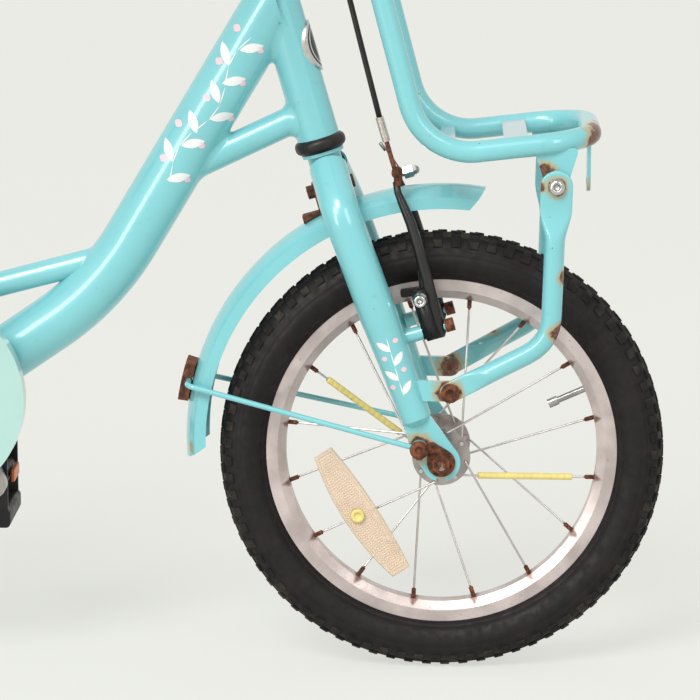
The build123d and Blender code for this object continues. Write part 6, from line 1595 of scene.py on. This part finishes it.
@dataclass
class SeatGroup:
    """Seat post, rails and the padded saddle."""

    shop: Workshop
    back: float = -0.2685
    base: float = 0.577779
    length: float = 0.215
    sections: tuple[tuple[float, float, float], ...] = (
        (0, 0.104, 0.034), (0.14, 0.146, 0.048), (0.34, 0.148, 0.052),
        (0.58, 0.092, 0.046), (0.82, 0.056, 0.042), (1, 0.036, 0.028),
    )
    draw: float = 0.9
    side: float = 0.55
    rounding: float = 0.012
    groove: float = 0.0022
    stations: int = 49

    def size(self, share: float) -> tuple[float, float]:
        """Gives the cushion's half width and height at a share of its length."""
        last = len(self.sections) - 1
        index = max(i for i in range(last) if self.sections[i][0] <= share or i == 0)
        four = [self.sections[min(max(index + step, 0), last)] for step in (-1, 0, 1, 2)]
        t = (share - four[1][0]) / (four[2][0] - four[1][0])
        sizes = []
        for part in (1, 2):
            a, b, c, d = (section[part] for section in four)
            sizes.append(b + t * (c - a + t * (2 * a - 5 * b + 4 * c - d + t * (3 * (b - c) + d - a))) / 2)
        near = min(share, 1 - share) * self.length / self.rounding
        soft = math.sqrt(1 - (1 - min(1.0, near)) ** 2)
        return sizes[0] / 2 * (0.76 + 0.24 * soft), sizes[1] * (0.6 + 0.4 * soft)

    def ring(self, share: float) -> list[Vector]:
        """Gives one cross section, round from the right foot over the top to the left foot."""
        half, height = self.size(share)
        x = self.back + share * self.length
        waist = self.side * height
        flank = [(-self.draw, 0.0), (-0.955, 0.1), (-0.985, 0.3), (-0.998, 0.7), (-1.0, 1.0)]
        right = [(y * half, z * waist) for y, z in flank]
        top = []
        dip = self.groove * math.exp(-(((share - 0.36) / 0.24) ** 2))
        for step in range(1, 20):
            y = -1 + step / 10
            sag = dip * math.exp(-((y * half / 0.009) ** 2))
            seam = 0.0011 * math.exp(-(((abs(y) - 0.8) * half / 0.0016) ** 2))
            top.append((y * half, waist + (height - waist) * (1 - y * y) ** 0.86 - sag - seam))
        outline = right + top + [(-y, z) for y, z in right[::-1]]
        return [Vector((x, y, self.base + z)) for y, z in outline]

    def cushion(self) -> bpy.types.Object:
        """Builds the stuffed cover on its base plate."""
        work = bmesh.new()
        rings = [[work.verts.new(place) for place in self.ring(step / (self.stations - 1))]
                 for step in range(self.stations)]
        points = len(rings[0])
        for face in skin(work, rings)[points - 1 :: points]:
            face.material_index = 1
        piece = new_mesh("cushion", work, Cover("tan cover", (112, 70, 44)).make())
        piece.data.materials.append(self.shop.black_plastic)
        return piece

    def edge(self, index: int, out: float) -> list[Vector]:
        """Gives a closed line round the cushion through one point of each section.

        Args:
            index: The point's number on the right-hand side.
            out: How far the line stands off to the side.

        Returns:
            The line's points.
        """
        right, left = [], []
        for step in range(self.stations):
            ring = self.ring(step / (self.stations - 1))
            right.append(ring[index] - Vector((0, out, 0)))
            left.append(ring[-1 - index] + Vector((0, out, 0)))
        return right + left[::-1]

    def trim(self) -> list[bpy.types.Object]:
        """Builds the piping round the waist and the stitches above it."""
        piping = bmesh.new()
        tube(piping, self.edge(4, 0.0002), 0.0014, 8, True)
        trim = [new_mesh("piping", piping, Cover("dark piping", (70, 42, 28)).make())]
        thread = Moulding("pale thread", (206, 180, 146), (150, 124, 96), 0.3, 0.7).make()
        places = [place + Vector((0, 0, 0.0003)) for place in self.edge(6, 0.0003)]
        guide = guide_line("stitch_line", "POLY", places)
        guide.data.splines[0].use_cyclic_u = True
        stitch = bmesh.new()
        half = [(0.0, 0.0), (0.0003, 0.00035), (0.001, 0.0005)]
        whole = half + [(0.0038 - along, radius) for along, radius in half[::-1]]
        lathe(stitch, Vector((-0.0019, 0, 0)), Vector((1, 0, 0)), whole, 6)
        shape = new_mesh("stitch", stitch, thread)
        trim.append(self.shop.path.lay("stitches", shape, thread, Count=92, Guide=guide))
        bpy.data.objects.remove(guide)
        return trim

    def build(self) -> None:
        """Dresses the post and builds the saddle."""
        shop = self.shop
        shop.dress("seat_post", shop.bright)
        shop.dress("saddle_rails", shop.steel)
        piece = join("saddle_cushion", [self.cushion(), *self.trim()])
        shop.keep(piece, "seat", "saddle_cover", "saddle")


@dataclass
class Stand:
    """The folding rear stand."""

    shop: Workshop

    def build(self) -> None:
        """Dresses the stand."""
        self.shop.dress("stand_legs", self.shop.black_metal)
        self.shop.dress("stand_feet", self.shop.black_plastic)


@dataclass
class Studio:
    """Pale floor, soft light and the camera at the photograph's angle."""

    camera_place: Point = (0.402581, -2.92311, 0.87485)
    yaw: float = math.radians(-1.698)
    pitch: float = math.radians(11.300)
    lens: float = 170.87
    ground: Colour = (236, 237, 231)
    softboxes: tuple[tuple[str, Point, float, float, bool], ...] = (
        ("left softbox", (-0.9, -2.0, 1.9), 0.7, 16.0, True),
        ("right softbox", (1.5, -1.8, 1.5), 0.5, 9.0, True),
        ("gloss softbox", (-1.0, -1.56, 0.8), 0.45, 15.0, False),
    )

    def camera(self) -> None:
        """Places the camera."""
        data = bpy.data.cameras.new("camera")
        data.sensor_fit = "HORIZONTAL"
        data.sensor_width = 36.0
        data.lens = self.lens
        data.clip_end = 100.0
        level = math.cos(self.pitch)
        aim = Vector((math.sin(self.yaw) * level, math.cos(self.yaw) * level, -math.sin(self.pitch)))
        camera = place_new("camera", data)
        camera.location = self.camera_place
        camera.rotation_euler = aim.to_track_quat("-Z", "Y").to_euler()
        bpy.context.scene.camera = camera

    def floor(self) -> None:
        """Lays the floor."""
        work = bmesh.new()
        bmesh.ops.create_grid(work, x_segments=1, y_segments=1, size=30.0)
        shader = Shader("pale floor")
        mottle = shader.step(shader.noise(0.6, 3), 0.3, 0.7)
        tone = shader.mix(mottle, (0.215, 0.215, 0.205, 1), (0.225, 0.225, 0.215, 1))
        finish = shader.finish(
            Base_Color=tone,
            Roughness=0.9,
            Specular_IOR_Level=0.0,
            Emission_Strength=0.74,
            Emission_Color=linear(self.ground),
        )
        piece = new_mesh("floor", work, finish)

    def light(self) -> None:
        """Lights the scene with a pale sky, a soft key and three long softboxes."""
        world = bpy.data.worlds.new("studio")
        bpy.context.scene.world = world
        world.use_nodes = True
        nodes, links = world.node_tree.nodes, world.node_tree.links
        sky = nodes["Background"]
        sky.inputs["Color"].default_value = (1.0, 1.0, 0.99, 1.0)
        sky.inputs["Strength"].default_value = 0.56
        backdrop = nodes.new("ShaderNodeBackground")
        backdrop.inputs["Color"].default_value = linear(self.ground)
        rays = nodes.new("ShaderNodeLightPath")
        seen = nodes.new("ShaderNodeMath")
        seen.operation = "MAXIMUM"
        links.new(rays.outputs["Is Camera Ray"], seen.inputs[0])
        links.new(rays.outputs["Is Glossy Ray"], seen.inputs[1])
        through = nodes.new("ShaderNodeMath")
        through.operation = "MAXIMUM"
        links.new(seen.outputs[0], through.inputs[0])
        links.new(rays.outputs["Is Transmission Ray"], through.inputs[1])
        mix = nodes.new("ShaderNodeMixShader")
        links.new(through.outputs[0], mix.inputs[0])
        links.new(sky.outputs[0], mix.inputs[1])
        links.new(backdrop.outputs[0], mix.inputs[2])
        links.new(mix.outputs[0], nodes["World Output"].inputs["Surface"])
        key = bpy.data.lights.new("key", "SUN")
        key.energy = 1.5
        key.angle = math.radians(22)
        lamp = place_new("key", key)
        lamp.rotation_euler = Vector((0.28, 0.62, -0.73)).to_track_quat("-Z", "Y").to_euler()
        for name, place, size, power, diffuse in self.softboxes:
            data = bpy.data.lights.new(name, "AREA")
            data.shape = "RECTANGLE"
            data.size = size
            data.size_y = 1.4
            data.energy = power
            box = place_new(name, data)
            box.location = place
            aim = Vector((0.3, 0, 0.35)) - Vector(place)
            box.rotation_euler = aim.to_track_quat("-Z", "Y").to_euler()
            box.visible_diffuse = diffuse

    def build(self) -> None:
        """Sets up the whole studio."""
        bpy.context.scene.view_settings.view_transform = "Standard"
        self.camera()
        self.floor()
        self.light()


def main() -> None:
    """Builds the bicycle in order."""
    logging.basicConfig(level=logging.INFO, format="%(message)s")
    Studio().build()
    shop = Workshop()
    ForkAndBrake(shop).build()
    Carrier(shop).build()
    Wheel(shop, "front", FRONT_AXLE).build()
    Wheel(shop, "rear", REAR_AXLE).build()
    SpokeReflectors(shop).build()
    FrameTubes(shop).build()
    Drive(shop).build()
    Cockpit(shop).build()
    SeatGroup(shop).build()
    Stand(shop).build()
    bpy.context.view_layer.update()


if __name__ == "__main__":
    main()
